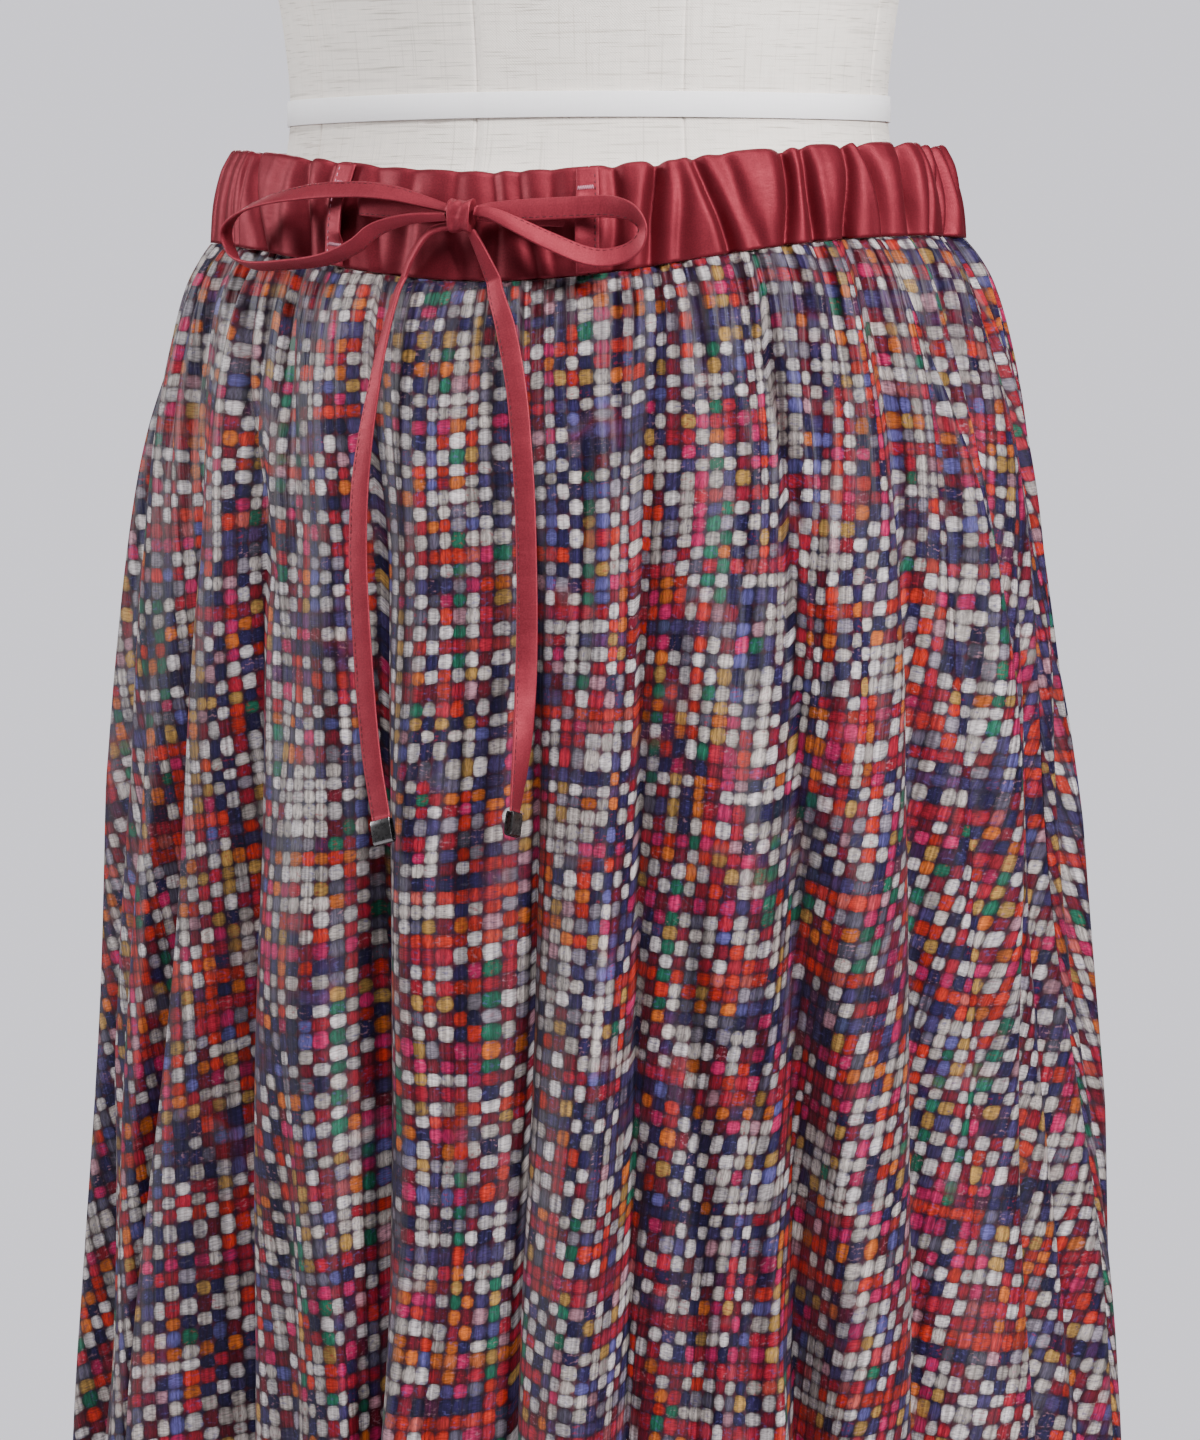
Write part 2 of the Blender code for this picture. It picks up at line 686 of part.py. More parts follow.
def build_dress_form():
    """The linen-covered torso, cut flat at the arms, with its arm plates, waist tape and cap."""
    heights = [h * MM for h in FORM["above_waist"]]
    between = [(a + b) / 2 for a, b in zip(heights, heights[1:]) if b - a > 0.030]
    under_tape = [-TAPE_WIDTH / 2, TAPE_WIDTH / 2]
    rings = [form_ring(h, FORM_ANGLES) for h in sorted(heights + between + under_tape)]
    torso = add_loft("form_torso", rings, LINEN)
    body = bmesh.new()
    body.from_mesh(torso.data)
    for side in (1, -1):
        geometry = body.verts[:] + body.edges[:] + body.faces[:]
        bmesh.ops.bisect_plane(
            body, geom=geometry, dist=1e-6, plane_co=(side * ARM_CUT, 0, 0),
            plane_no=(side, 0, 0), clear_outer=True,
        )
        bmesh.ops.holes_fill(body, edges=[e for e in body.edges if e.is_boundary])
    upper = [f for f in body.faces if abs(f.normal.x) > 0.999 and len(f.verts) > 6]
    plates = [(f.calc_center_median(), f.normal.x) for f in upper if f.calc_center_median().z > 1.1]
    bmesh.ops.recalc_face_normals(body, faces=body.faces)
    body.to_mesh(torso.data)
    body.free()
    torso.data.shade_smooth()
    torso.data.set_sharp_from_angle(angle=math.radians(40))
    for centre, side in plates:
        name = "form_arm_plate_l" if side > 0 else "form_arm_plate_r"
        start = math.copysign(ARM_CUT + SEAM_GAP, side)
        rings = [
            [
                Vector((start + math.copysign(depth, side), centre.y + 0.030 * grow * math.cos(a),
                        centre.z + 0.044 * grow * math.sin(a)))
                for a in FORM_ANGLES[::2]
            ]
            for depth, grow in ((0, 1), (3 * MM, 1), (5 * MM, 0.92))
        ]
        add_loft(name, rings, WOOD)
    low, high = -TAPE_WIDTH / 2, TAPE_WIDTH / 2
    points = []
    for height, out in ((high, 1), (high, 0), (low, 0), (low, 1)):
        points += form_ring(height, FORM_ANGLES, SEAM_GAP + TAPE_THICKNESS * out)
    sides = len(FORM_ANGLES)
    faces = []
    for layer in range(4):
        after = (layer + 1) % 4
        for s in range(sides):
            t = (s + 1) % sides
            faces.append((layer * sides + s, layer * sides + t, after * sides + t, after * sides + s))
    add_object("form_waist_tape", points, faces, *TAPE)


def add_turned(name, profile, finish, metallic=0.0, sides=32, centre=(0.0, 0.0)):
    """A solid turned about a vertical axis from (radius, height) points, bottom to top."""
    rings = [
        [
            Vector((centre[0] + r * math.cos(2 * math.pi * k / sides),
                    centre[1] + r * math.sin(2 * math.pi * k / sides), z))
            for k in range(sides)
        ]
        for r, z in profile
    ]
    obj = add_loft(name, rings, finish)
    shader = obj.data.materials[0].node_tree.nodes["Principled BSDF"]
    shader.inputs["Metallic"].default_value = metallic
    return obj


def build_stand():
    """The pole with its flange under the torso, the round base with its hub, and the neck cap."""
    torso_under = WAIST_HEIGHT + TORSO_BOTTOM - SEAM_GAP
    hub_top = BASE_THICKNESS + HUB_HEIGHT
    add_turned(
        "stand_base",
        (
            (BASE_RADIUS - 2 * MM, 0),
            (BASE_RADIUS, 2 * MM),
            (BASE_RADIUS, BASE_THICKNESS - 5 * MM),
            (BASE_RADIUS - 5 * MM, BASE_THICKNESS),
            (HUB_RADIUS + 6 * MM, BASE_THICKNESS),
            (HUB_RADIUS, BASE_THICKNESS + 5 * MM),
            (HUB_RADIUS * 0.72, hub_top - 4 * MM),
            (HUB_RADIUS * 0.66, hub_top),
        ),
        STEEL, 0.6, 36,
    )
    add_turned(
        "stand_pole",
        (
            (POLE_RADIUS, hub_top + SEAM_GAP),
            (POLE_RADIUS, torso_under - 0.030),
            (POLE_RADIUS * 1.5, torso_under - 0.020),
            (POLE_RADIUS * 1.6, torso_under - FLANGE_THICKNESS),
            (FLANGE_RADIUS, torso_under - FLANGE_THICKNESS),
            (FLANGE_RADIUS, torso_under),
        ),
        STEEL, 1.0, 18,
    )
    neck = WAIST_HEIGHT + TORSO_TOP + SEAM_GAP
    add_turned(
        "form_neck_cap",
        (
            (CAP_RADIUS, neck),
            (CAP_RADIUS + 2 * MM, neck + 3 * MM),
            (CAP_RADIUS, neck + 8 * MM),
            (CAP_RADIUS * 0.55, neck + 14 * MM),
            (CAP_RADIUS * 0.24, neck + 18 * MM),
            (CAP_RADIUS * 0.24, neck + 26 * MM),
            (CAP_RADIUS * 0.36, neck + 33 * MM),
            (CAP_RADIUS * 0.30, neck + 42 * MM),
            (CAP_RADIUS * 0.12, neck + 46 * MM),
        ),
        WOOD, 0.0, 20, (0.0, 0.008),
    )


def clear_scene():
    for obj in list(bpy.data.objects):
        bpy.data.objects.remove(obj)


clear_scene()
build_dress_form()
build_stand()
build_waistband()
build_skirt()
build_slit_strips()
build_tie()
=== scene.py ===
import math

import bpy
import numpy as np
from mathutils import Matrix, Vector


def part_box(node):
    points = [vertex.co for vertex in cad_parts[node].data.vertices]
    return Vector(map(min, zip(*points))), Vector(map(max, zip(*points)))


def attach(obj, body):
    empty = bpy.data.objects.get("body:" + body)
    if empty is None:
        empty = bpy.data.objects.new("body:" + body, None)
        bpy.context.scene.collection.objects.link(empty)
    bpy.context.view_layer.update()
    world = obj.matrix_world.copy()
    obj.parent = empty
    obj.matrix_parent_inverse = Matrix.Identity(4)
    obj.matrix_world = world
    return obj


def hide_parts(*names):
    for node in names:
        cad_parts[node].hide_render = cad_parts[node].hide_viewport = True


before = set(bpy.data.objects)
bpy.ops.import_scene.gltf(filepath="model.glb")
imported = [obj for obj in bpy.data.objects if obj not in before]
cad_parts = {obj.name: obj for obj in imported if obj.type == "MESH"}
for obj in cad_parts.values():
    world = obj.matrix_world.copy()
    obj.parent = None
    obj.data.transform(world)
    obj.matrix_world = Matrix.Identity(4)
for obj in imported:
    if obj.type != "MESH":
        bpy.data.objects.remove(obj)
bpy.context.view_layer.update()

MM = 0.001


# Camera, studio light and floor
# A long lens at the height of the hips, turned to the skirt's left front, as in the photo.
# Large soft lights stand to its right and left and behind it, and one hangs over it.
CAMERA_TURN = math.radians(27)
CAMERA_DISTANCE = 7.0
CAMERA_HEIGHT = 0.774
IMAGE_WIDTH, IMAGE_HEIGHT = 1200, 1440
PIXELS_PER_METRE = 2690
MIDDLE_PIXEL = 588

across_view = Vector((math.cos(CAMERA_TURN), math.sin(CAMERA_TURN), 0))
to_camera = Vector((math.sin(CAMERA_TURN), -math.cos(CAMERA_TURN), 0))
aim = across_view * ((IMAGE_WIDTH / 2 - MIDDLE_PIXEL) / PIXELS_PER_METRE)
aim.z = CAMERA_HEIGHT

camera_data = bpy.data.cameras.new("camera")
camera_data.lens = camera_data.sensor_width * CAMERA_DISTANCE * PIXELS_PER_METRE / IMAGE_HEIGHT
camera_data.clip_start, camera_data.clip_end = 0.5, 100
camera = bpy.data.objects.new("camera", camera_data)
camera.location = aim + to_camera * CAMERA_DISTANCE
camera.rotation_euler = to_camera.to_track_quat("Z", "Y").to_euler()
bpy.context.scene.collection.objects.link(camera)
bpy.context.scene.camera = camera


def soft_light(name, turn, height, distance, size, power, colour):
    """A square area light turned about the object from the camera's side, aimed at the hips."""
    data = bpy.data.lights.new(name, "AREA")
    data.energy, data.size, data.color = power, size, colour
    light = bpy.data.objects.new(name, data)
    around = CAMERA_TURN + math.radians(turn)
    light.location = (math.sin(around) * distance, -math.cos(around) * distance, height)
    back = light.location - Vector((0, 0, CAMERA_HEIGHT))
    light.rotation_euler = back.to_track_quat("Z", "Y").to_euler()
    light.visible_camera = False
    bpy.context.scene.collection.objects.link(light)


soft_light("right_light", 40, 2.15, 2.35, 0.7, 124, (1.0, 0.995, 0.99))
soft_light("left_light", -98, 1.7, 2.5, 0.8, 62, (0.99, 0.995, 1.0))
soft_light("top_light", -8, 3.5, 1.7, 0.9, 106, (1.0, 1.0, 1.0))
soft_light("back_light", 178, 2.2, 2.8, 1.4, 90, (1.0, 1.0, 1.0))

world = bpy.data.worlds.new("studio")
world.use_nodes = True
bpy.context.scene.world = world
studio, join = world.node_tree.nodes, world.node_tree.links.new
backdrop = studio["Background"]
backdrop.inputs["Color"].default_value = (1.09, 1.07, 1.17, 1)
ambient = studio.new("ShaderNodeBackground")
ambient.inputs["Color"].default_value = (0.60, 0.60, 0.62, 1)
ambient.inputs["Strength"].default_value = 0.13
seen = studio.new("ShaderNodeLightPath")
either = studio.new("ShaderNodeMixShader")
join(seen.outputs["Is Camera Ray"], either.inputs["Fac"])
join(ambient.outputs["Background"], either.inputs[1])
join(backdrop.outputs["Background"], either.inputs[2])
join(either.outputs["Shader"], studio["World Output"].inputs["Surface"])


def mesh_object(name, points, faces, smooth=True):
    """An object with a mesh of these points and faces."""
    mesh = bpy.data.meshes.new(name)
    mesh.from_pydata([tuple(p) for p in points], [], [tuple(int(i) for i in f) for f in faces])
    if smooth:
        mesh.shade_smooth()
    obj = bpy.data.objects.new(name, mesh)
    bpy.context.scene.collection.objects.link(obj)
    return obj


FLOOR_RADIUS, FLOOR_SIDES = 2.4, 96
rim = np.linspace(0, 2 * math.pi, FLOOR_SIDES + 1)[:-1]
rim = [(FLOOR_RADIUS * math.cos(t), FLOOR_RADIUS * math.sin(t), 0) for t in rim]
floor = mesh_object("floor", rim, [range(FLOOR_SIDES)], False)
floor_paint = bpy.data.materials.new("pale_floor")
floor_paint.use_nodes = True
floor_shader = floor_paint.node_tree.nodes["Principled BSDF"]
floor_shader.inputs["Base Color"].default_value = (0.62, 0.615, 0.64, 1)
floor_shader.inputs["Roughness"].default_value = 0.8
floor.data.materials.append(floor_paint)


# The garment's outer form, which the tie lies on
# Oval sections of the waistband and of the skirt below it, in mm, front and back depths apart.
# The waist seam and the band's top edge dip at the front, where the bow pulls them down.
WAIST_HEIGHT, HEM_HEIGHT = 1.000, 0.125
BAND_TOP_SIDE, BAND_TOP_DIP = 0.9870, 0.0115
SEAM_SIDE, SEAM_DIP = 0.9525, 0.0177
DIP_CENTRE, DIP_SHARPNESS = math.radians(6), 8
SLIT_ANGLE = math.radians(20.6)
# From the waist seam to the hem at the sides, in mm
SKIRT_LENGTH = 827


def table(columns, *rows):
    """A short table with named columns, as arrays."""
    return dict(zip(columns.split(), np.array(rows, float).T))


ENVELOPE = table(
    "drop half_width front back",
    (0, 148.5, 109, 109.3),
    (5, 153.2, 112, 113),
    (16, 160.0, 116.5, 119),
    (38, 167.3, 122.5, 126.5),
    (71, 175.5, 129, 134),
    (105, 181.2, 133.5, 139.5),
    (171, 188.8, 139, 146),
    (283, 196.0, 149, 155),
    (438, 204.6, 162, 167),
    (SKIRT_LENGTH, 229.0, 184, 187),
)
BAND = table(
    "share half_width front back gather",
    (0.0, 148.5, 109, 109.3, 1.00),
    (0.35, 147.6, 108.4, 108.6, 1.18),
    (0.75, 144.6, 106.0, 106.2, 1.05),
    (1.0, 139.9, 103.0, 103.4, 0.62),
)


def smooth(x, xs, ys):
    """A curve through a table's points that doesn't overshoot them (monotone cubic)."""
    xs, ys = np.asarray(xs, float), np.asarray(ys, float)
    x = np.clip(x, xs[0], xs[-1])
    step = np.diff(xs)
    slope = np.diff(ys) / step
    at = np.zeros_like(ys)
    same = slope[:-1] * slope[1:] > 0
    pair = np.where(same, slope[:-1] + slope[1:], 1.0)
    at[1:-1] = np.where(same, 2 * slope[:-1] * slope[1:] / pair, 0.0)
    at[0], at[-1] = slope[0], slope[-1]
    k = np.clip(np.searchsorted(xs, x, side="right") - 1, 0, len(step) - 1)
    t = (x - xs[k]) / step[k]
    a, b = (1 + 2 * t) * (1 - t) ** 2, t * t * (3 - 2 * t)
    c, d = t * (1 - t) ** 2, t * t * (t - 1)
    return a * ys[k] + b * ys[k + 1] + step[k] * (c * at[k] + d * at[k + 1])


def sizes(rows, by, value):
    """Half width, front depth and back depth of a table's oval, in metres."""
    return [smooth(value, rows[by], rows[name]) * MM for name in ("half_width", "front", "back")]


def oval(angle, half_width, front, back):
    """Points on an oval section and the way out of it, as arrays. Angle 0 is the front."""
    depth = np.where(np.cos(angle) > 0, front, back)
    x, y = half_width * np.sin(angle), -depth * np.cos(angle)
    nx, ny = np.sin(angle) / half_width, -np.cos(angle) / depth
    length = np.hypot(nx, ny)
    return x, y, nx / length, ny / length


def dip(angle):
    """1 where the waist hangs lowest at the front, and 0 round the sides and back."""
    return ((1 + np.cos(angle - DIP_CENTRE)) / 2) ** DIP_SHARPNESS


def band_top(angle):
    return BAND_TOP_SIDE - BAND_TOP_DIP * dip(angle)


def seam_height(angle):
    return SEAM_SIDE - SEAM_DIP * dip(angle)


def outermost(angle, height):
    """The cloth's outermost place at an angle and a height, and the way out of it."""
    low = seam_height(angle)
    if height > low:
        oval_sizes = sizes(BAND, "share", (height - low) / (band_top(angle) - low))
    else:
        oval_sizes = sizes(ENVELOPE, "drop", (low - height) / MM)
    x, y, nx, ny = oval(angle, *oval_sizes)
    return Vector((x, y, height)), Vector((nx, ny, 0))


def angle_at(around, height):
    """The angle that lies a distance around the outermost form from the centre front."""
    step = math.copysign(math.radians(0.5), around)
    angle, gone = 0.0, 0.0
    last = outermost(0, height)[0]
    while True:
        here = outermost(angle + step, height)[0]
        more = (here - last).length
        if gone + more >= abs(around):
            return angle + step * (abs(around) - gone) / more
        angle, gone, last = angle + step, gone + more, here


# Satin of the band and the tie
# A polyester satin in dusty brick red: a tight weave with a soft, broad shine and faint
# lengthwise streaks. It is sewn with dark red thread, and the bar tacks are pale.
def srgb(red, green, blue):
    """A colour given in the usual 0 to 255 values, as linear light."""
    return [((c / 255 + 0.055) / 1.055) ** 2.4 if c > 10 else c / 3294.6 for c in (red, green, blue)] + [1]


class Nodes:
    """Places and joins the nodes of one material or group."""

    def __init__(self, tree):
        self.tree = tree

    def add(self, kind, inputs=None, **settings):
        """A node with its settings. An input is a plain value or another node's output."""
        node = self.tree.nodes.new("ShaderNode" + kind)
        for name, value in settings.items():
            setattr(node, name, value)
        for name, value in (inputs or {}).items():
            if isinstance(value, bpy.types.NodeSocket):
                self.link(value, node, name)
            else:
                node.inputs[name].default_value = value
        return node

    def link(self, value, node, name):
        self.tree.links.new(value, node.inputs[name])

    def maths(self, operation, *values):
        return self.add("Math", dict(enumerate(values)), operation=operation).outputs[0]

    def noise(self, vector, scale, detail=2.0, roughness=0.5):
        """Noise from 0 to 1 over a vector."""
        inputs = {"Vector": vector, "Scale": scale, "Detail": detail, "Roughness": roughness}
        return self.add("TexNoise", inputs).outputs["Fac"]

    def stretch(self, vector, x, y, z=1.0):
        return self.add("VectorMath", {0: vector, 1: (x, y, z)}, operation="MULTIPLY").outputs[0]

    def ramp(self, value, low, high, to_low=0.0, to_high=1.0):
        """A value between low and high, turned softly into one between to_low and to_high."""
        inputs = {"Value": value, "From Min": low, "From Max": high, "To Min": to_low, "To Max": to_high}
        return self.add("MapRange", inputs, interpolation_type="SMOOTHSTEP").outputs["Result"]

    def mix(self, factor, one, other, blend="MIX"):
        node = self.add("Mix", data_type="RGBA", blend_type=blend)
        for name, value in (("Factor_Float", factor), ("A_Color", one), ("B_Color", other)):
            socket = next(s for s in node.inputs if s.identifier == name)
            if isinstance(value, bpy.types.NodeSocket):
                self.tree.links.new(value, socket)
            else:
                socket.default_value = value
        return next(s for s in node.outputs if s.identifier == "Result_Color")

    def bump(self, height, strength, distance, normal=None):
        inputs = {"Height": height, "Strength": strength, "Distance": distance}
        if normal is not None:
            inputs["Normal"] = normal
        return self.add("Bump", inputs).outputs["Normal"]


def new_group(name, inputs, outputs):
    """A shader node group with named sockets: its Nodes, its inputs' outputs and its end."""
    group = bpy.data.node_groups.new(name, "ShaderNodeTree")
    for title, kind, value in inputs:
        socket = group.interface.new_socket(title, in_out="INPUT", socket_type="NodeSocket" + kind)
        if value is not None:
            socket.default_value = value
    for title, kind in outputs:
        group.interface.new_socket(title, in_out="OUTPUT", socket_type="NodeSocket" + kind)
    start, end = group.nodes.new("NodeGroupInput"), group.nodes.new("NodeGroupOutput")
    return group, Nodes(group), start.outputs, end


def new_material(name, **finish):
    """A material whose shader has these plain values, its Nodes and its shader."""
    material = bpy.data.materials.new(name)
    material.use_nodes = True
    shader = material.node_tree.nodes["Principled BSDF"]
    for title, value in finish.items():
        shader.inputs[title.replace("_", " ")].default_value = value
    return material, Nodes(material.node_tree), shader


def thread_weave():
    """Fine crossed threads over a cloth's own measure, in metres: their height and streaks."""
    group, n, given, end = new_group(
        "thread_weave",
        [("Cloth", "Vector", None), ("Threads per metre", "Float", 2000.0), ("Streak", "Float", 0.5)],
        [("Height", "Float"), ("Streaks", "Float")],
    )
    place = n.add("SeparateXYZ", {0: given["Cloth"]})
    pitch = n.maths("MULTIPLY", given["Threads per metre"], 2 * math.pi)
    warp = n.maths("SINE", n.maths("MULTIPLY", place.outputs["X"], pitch))
    weft = n.maths("SINE", n.maths("MULTIPLY", place.outputs["Y"], pitch))
    n.link(n.maths("MULTIPLY", warp, weft), end, "Height")
    along = n.noise(n.stretch(given["Cloth"], 60, 900), 1.0, 3.0)
    across = n.noise(n.stretch(given["Cloth"], 1100, 50), 1.0, 3.0)
    both = n.maths("MULTIPLY", n.maths("ADD", along, across), 0.5)
    plain = n.maths("SUBTRACT", both, 0.5)
    n.link(n.maths("MULTIPLY", plain, given["Streak"]), end, "Streaks")
    return group


THREAD_WEAVE = thread_weave()


def woven(n, threads, streak):
    """The place on a piece's own cloth, and the height and streaks of the fine weave there."""
    cloth = n.add("UVMap", uv_map="cloth").outputs["UV"]
    inputs = {"Cloth": cloth, "Threads per metre": threads, "Streak": streak}
    weave = n.add("Group", inputs, node_tree=THREAD_WEAVE)
    return cloth, weave.outputs["Height"], weave.outputs["Streaks"]


def dye(n, shader, colour, shade):
    """Gives a shader one colour, lighter and darker by a shade round 1."""
    dyed = n.add("HueSaturation", {"Color": srgb(*colour), "Value": shade}).outputs["Color"]
    n.link(dyed, shader, "Base Color")


def satin(name, colour, roughness):
    """Red satin with a soft tinted shine, over the UV map named cloth."""
    material, n, shader = new_material(
        name, Metallic=0.62, Specular_IOR_Level=0.2, Sheen_Weight=0.06, Sheen_Roughness=0.4,
        Sheen_Tint=srgb(235, 130, 135),
    )
    cloth, height, streaks = woven(n, 2600, 0.34)
    patch = n.noise(cloth, 55, 2)
    shade = n.maths("ADD", n.ramp(patch, 0.3, 0.7, 0.93, 1.05), streaks)
    grain = n.noise(cloth, 1500, 1)
    dye(n, shader, colour, n.maths("ADD", shade, n.ramp(grain, 0.25, 0.75, -0.13, 0.13)))
    rough = n.ramp(n.noise(n.stretch(cloth, 240, 900), 1.0, 2), 0.2, 0.8, roughness - 0.04, roughness + 0.05)
    n.link(rough, shader, "Roughness")
    wrinkles = n.noise(cloth, 130, 3, 0.55)
    raised = n.bump(height, 0.25, 0.00005)
    raised = n.bump(wrinkles, 0.30, 0.0006, raised)
    n.link(raised, shader, "Normal")
    return material


# One satin in two copies of different brightness: the band's darker copy is painted shade over the gathered
# band, and the tie's lighter copy, which the slit strips also take, is painted light on them.
SHADED_BAND_SATIN = satin("waistband_satin", (107, 30, 41), 0.50)
LIT_TIE_SATIN = satin("tie_satin", (130, 43, 55), 0.52)


def thread(name, colour):
    """Sewing thread: a twisted strand with a slight shine."""
    material, n, shader = new_material(name, Roughness=0.6, Sheen_Weight=0.1, Specular_IOR_Level=0.25)
    twist = n.noise(n.add("TexCoord").outputs["Object"], 2600, 1)
    dye(n, shader, colour, n.ramp(twist, 0.2, 0.8, 0.8, 1.15))
    return material


RED_THREAD = thread("red_thread", (62, 12, 24))
PALE_THREAD = thread("pale_thread", (180, 122, 140))


def set_cloth_map(obj, places):
    """Gives a mesh its UV map named cloth: each point's place on the flat cloth, in metres."""
    layer = obj.data.uv_layers.new(name="cloth")
    corners = np.empty(len(obj.data.loops), dtype=np.int32)
    obj.data.loops.foreach_get("vertex_index", corners)
    layer.data.foreach_set("uv", np.asarray(places, np.float32)[corners].ravel())


# Rings of a stitch: the share of its length, of its radius, and how far it goes into the cloth
STITCH_RINGS = ((0, 0.25, 1.0), (0.15, 0.9, 0.3), (0.5, 1, 0), (0.85, 0.9, 0.3), (1, 0.25, 1.0))


def sew(points, faces, line, length, gap, radius, sides=5):
    """Adds short rounded stitches to a piece's points and faces, along places on the cloth that
    come with the way out of it."""
    line, normals = (np.array([tuple(pair[i]) for pair in line]) for i in (0, 1))
    run = np.concatenate([[0], np.cumsum(np.linalg.norm(np.diff(line, axis=0), axis=1))])
    start = gap
    while start + length < run[-1]:
        rings = []
        for share, size, sink in STITCH_RINGS:
            at = start + length * share
            centre = np.array([np.interp(at, run, line[:, i]) for i in range(3)])
            ahead = np.array([np.interp(at + 0.0004, run, line[:, i]) for i in range(3)])
            up = np.array([np.interp(at, run, normals[:, i]) for i in range(3)])
            up /= np.linalg.norm(up)
            side = np.cross(ahead - centre, up)
            side /= max(np.linalg.norm(side), 1e-9)
            centre = centre + up * radius * (0.35 - 1.1 * sink)
            rings.append(len(points))
            for k in range(sides):
                turn = 2 * math.pi * k / sides
                points.append(centre + (side * math.cos(turn) + up * math.sin(turn)) * radius * size)
        for a, b in zip(rings, rings[1:]):
            faces += [(a + k, a + (k + 1) % sides, b + (k + 1) % sides, b + k) for k in range(sides)]
        faces.append(tuple(rings[0] + k for k in reversed(range(sides))))
        faces.append(tuple(rings[-1] + k for k in range(sides)))
        start += length + gap


def ring_faces(rings, sides):
    """Faces between rings of points that follow each other."""
    faces = []
    for ring in range(rings - 1):
        for k in range(sides):
            a, b = ring * sides + k, ring * sides + (k + 1) % sides
            faces.append((a, b, b + sides, a + sides))
    return faces


def end_faces(rings, sides):
    """The flat faces that close the first and the last ring."""
    last = (rings - 1) * sides
    return [tuple(reversed(range(sides))), tuple(range(last, last + sides))]


def stand_in(obj, node):
    """Puts a piece on the one body, in place of its solid."""
    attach(obj, "root")
    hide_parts(node)


# Tie
# One flat satin ribbon, folded and edge-stitched, that runs in the casing and out of both slits.
# It is tied in a bow. Each stretch that shows is a piece: leads, loops and tails.
TIE_WIDTH, TIE_THICKNESS = 7.5 * MM, 0.95 * MM
ROUTE = "around height off twist width"
LEAD_L = table(
    ROUTE,
    (54.0, 957.8, -3.6, 0, 7.8),
    (48.0, 958.0, -3.2, 0, 7.8),
    (43.6, 958.2, -1.0, 0, 7.8),
    (39.0, 958.4, 1.3, 0, 7.8),
    (27, 958.8, 1.6, 0, 7.8),
    (17, 958.8, 2.4, 5, 5.4),
    (11.6, 958.6, 4.4, 10, 3.4),
)
LEAD_R = table(
    ROUTE,
    (-53.6, 963.6, -3.6, 0, 7.8),
    (-48.0, 963.5, -3.2, 0, 7.8),
    (-43.6, 963.4, -1.0, 0, 7.8),
    (-38, 963.0, 1.3, 0, 7.8),
    (-20, 961.4, 1.6, 0, 7.8),
    (-6, 959.8, 2.2, 5, 5.4),
    (0.2, 959.4, 4.0, 10, 3.4),
)
LOOP_R = table(
    ROUTE,
    (0.4, 961.4, 7.0, 20, 3.0),
    (-8, 963.6, 6.5, 30, 4.5),
    (-22, 967.2, 7.0, 36, 6.4),
    (-38, 969.0, 7.5, 40, 7.6),
    (-59, 968.6, 8.5, 42, 7.8),
    (-80, 965.8, 10.0, 56, 7.2),
    (-94, 961.4, 11.5, 64, 6.6),
    (-101, 955.8, 12.0, 72, 6.2),
    (-101, 949.6, 11.0, 72, 6.2),
    (-95, 944.4, 10.0, 66, 6.4),
    (-84, 941.6, 9.0, 64, 6.6),
    (-68, 941.8, 8.0, 62, 6.8),
    (-50, 943.6, 8.0, 56, 6.8),
    (-37, 948.2, 8.0, 50, 6.8),
    (-28, 954.0, 8.5, 45, 6.4),
    (-15, 957.6, 8.5, 40, 4.6),
    (0.4, 958.4, 8.0, 30, 3.0),
)
LOOP_L = table(
    ROUTE,
    (11.6, 960.6, 6.8, -10, 3.4),
    (18, 960.6, 6.0, -14, 6.4),
    (30, 960.6, 6.2, -14, 8.4),
    (46, 961.2, 7.0, -10, 8.4),
    (60, 961.6, 9.0, 0, 8.2),
    (69, 959.4, 12.0, 36, 7.8),
    (73.5, 953.8, 13.5, 62, 7.6),
    (71.5, 947.0, 13.0, 46, 8.2),
    (64, 943.2, 11.5, 34, 8.2),
    (54, 943.6, 10.5, 34, 8.0),
    (40, 949.4, 10.0, 34, 7.4),
    (27, 955.6, 9.4, 30, 6.0),
    (18, 959.4, 8.8, 24, 4.6),
    (11.6, 960.2, 8.2, 15, 3.2),
)
TAIL_L = table(
    ROUTE,
    (9.6, 953.2, 5.8, 10, 3.2),
    (13.5, 945, 4.5, 14, 5.0),
    (19.5, 931, 2.8, 10, 7.0),
    (26.5, 916, 2.2, 0, 7.9),
    (33.5, 893, 2.2, 0, 8.0),
    (39.0, 862, 2.2, 0, 8.0),
    (42.0, 832, 2.2, 0, 8.0),
    (43.6, 800, 2.6, -8, 8.0),
    (43.8, 768, 4.2, -44, 7.9),
    (42.2, 740.5, 5.2, -82, 7.8),
)
TAIL_R = table(
    ROUTE,
    (0.5, 955.0, 5.2, 30, 3.0),
    (-7, 953.0, 5.0, 45, 4.5),
    (-13, 947.0, 4.4, 40, 5.0),
    (-18.5, 936.5, 3.4, 42, 5.2),
    (-21.5, 921, 2.6, 34, 5.4),
    (-24.5, 897, 2.2, 18, 6.4),
    (-26.8, 865, 2.2, 4, 7.8),
    (-26, 835, 2.2, 0, 8.0),
    (-22.3, 800, 2.2, 0, 8.0),
    (-17.4, 765, 2.4, 0, 8.0),
    (-11.2, 737.5, 2.8, 0, 7.8),
)
KNOT_PLACE = (6.0, 958.6, 6.4)


def smooth_through(values, at):
    """A soft curve through evenly counted values (Catmull-Rom), read at places between them."""
    v = np.concatenate([[2 * values[0] - values[1]], values, [2 * values[-1] - values[-2]]])
    k = np.clip(np.floor(at).astype(int), 0, len(values) - 2)
    t = at - k
    a, b, c, d = v[k], v[k + 1], v[k + 2], v[k + 3]
    return b + 0.5 * t * (c - a + t * (2 * a - 5 * b + 4 * c - d + t * (3 * (b - c) + d - a)))


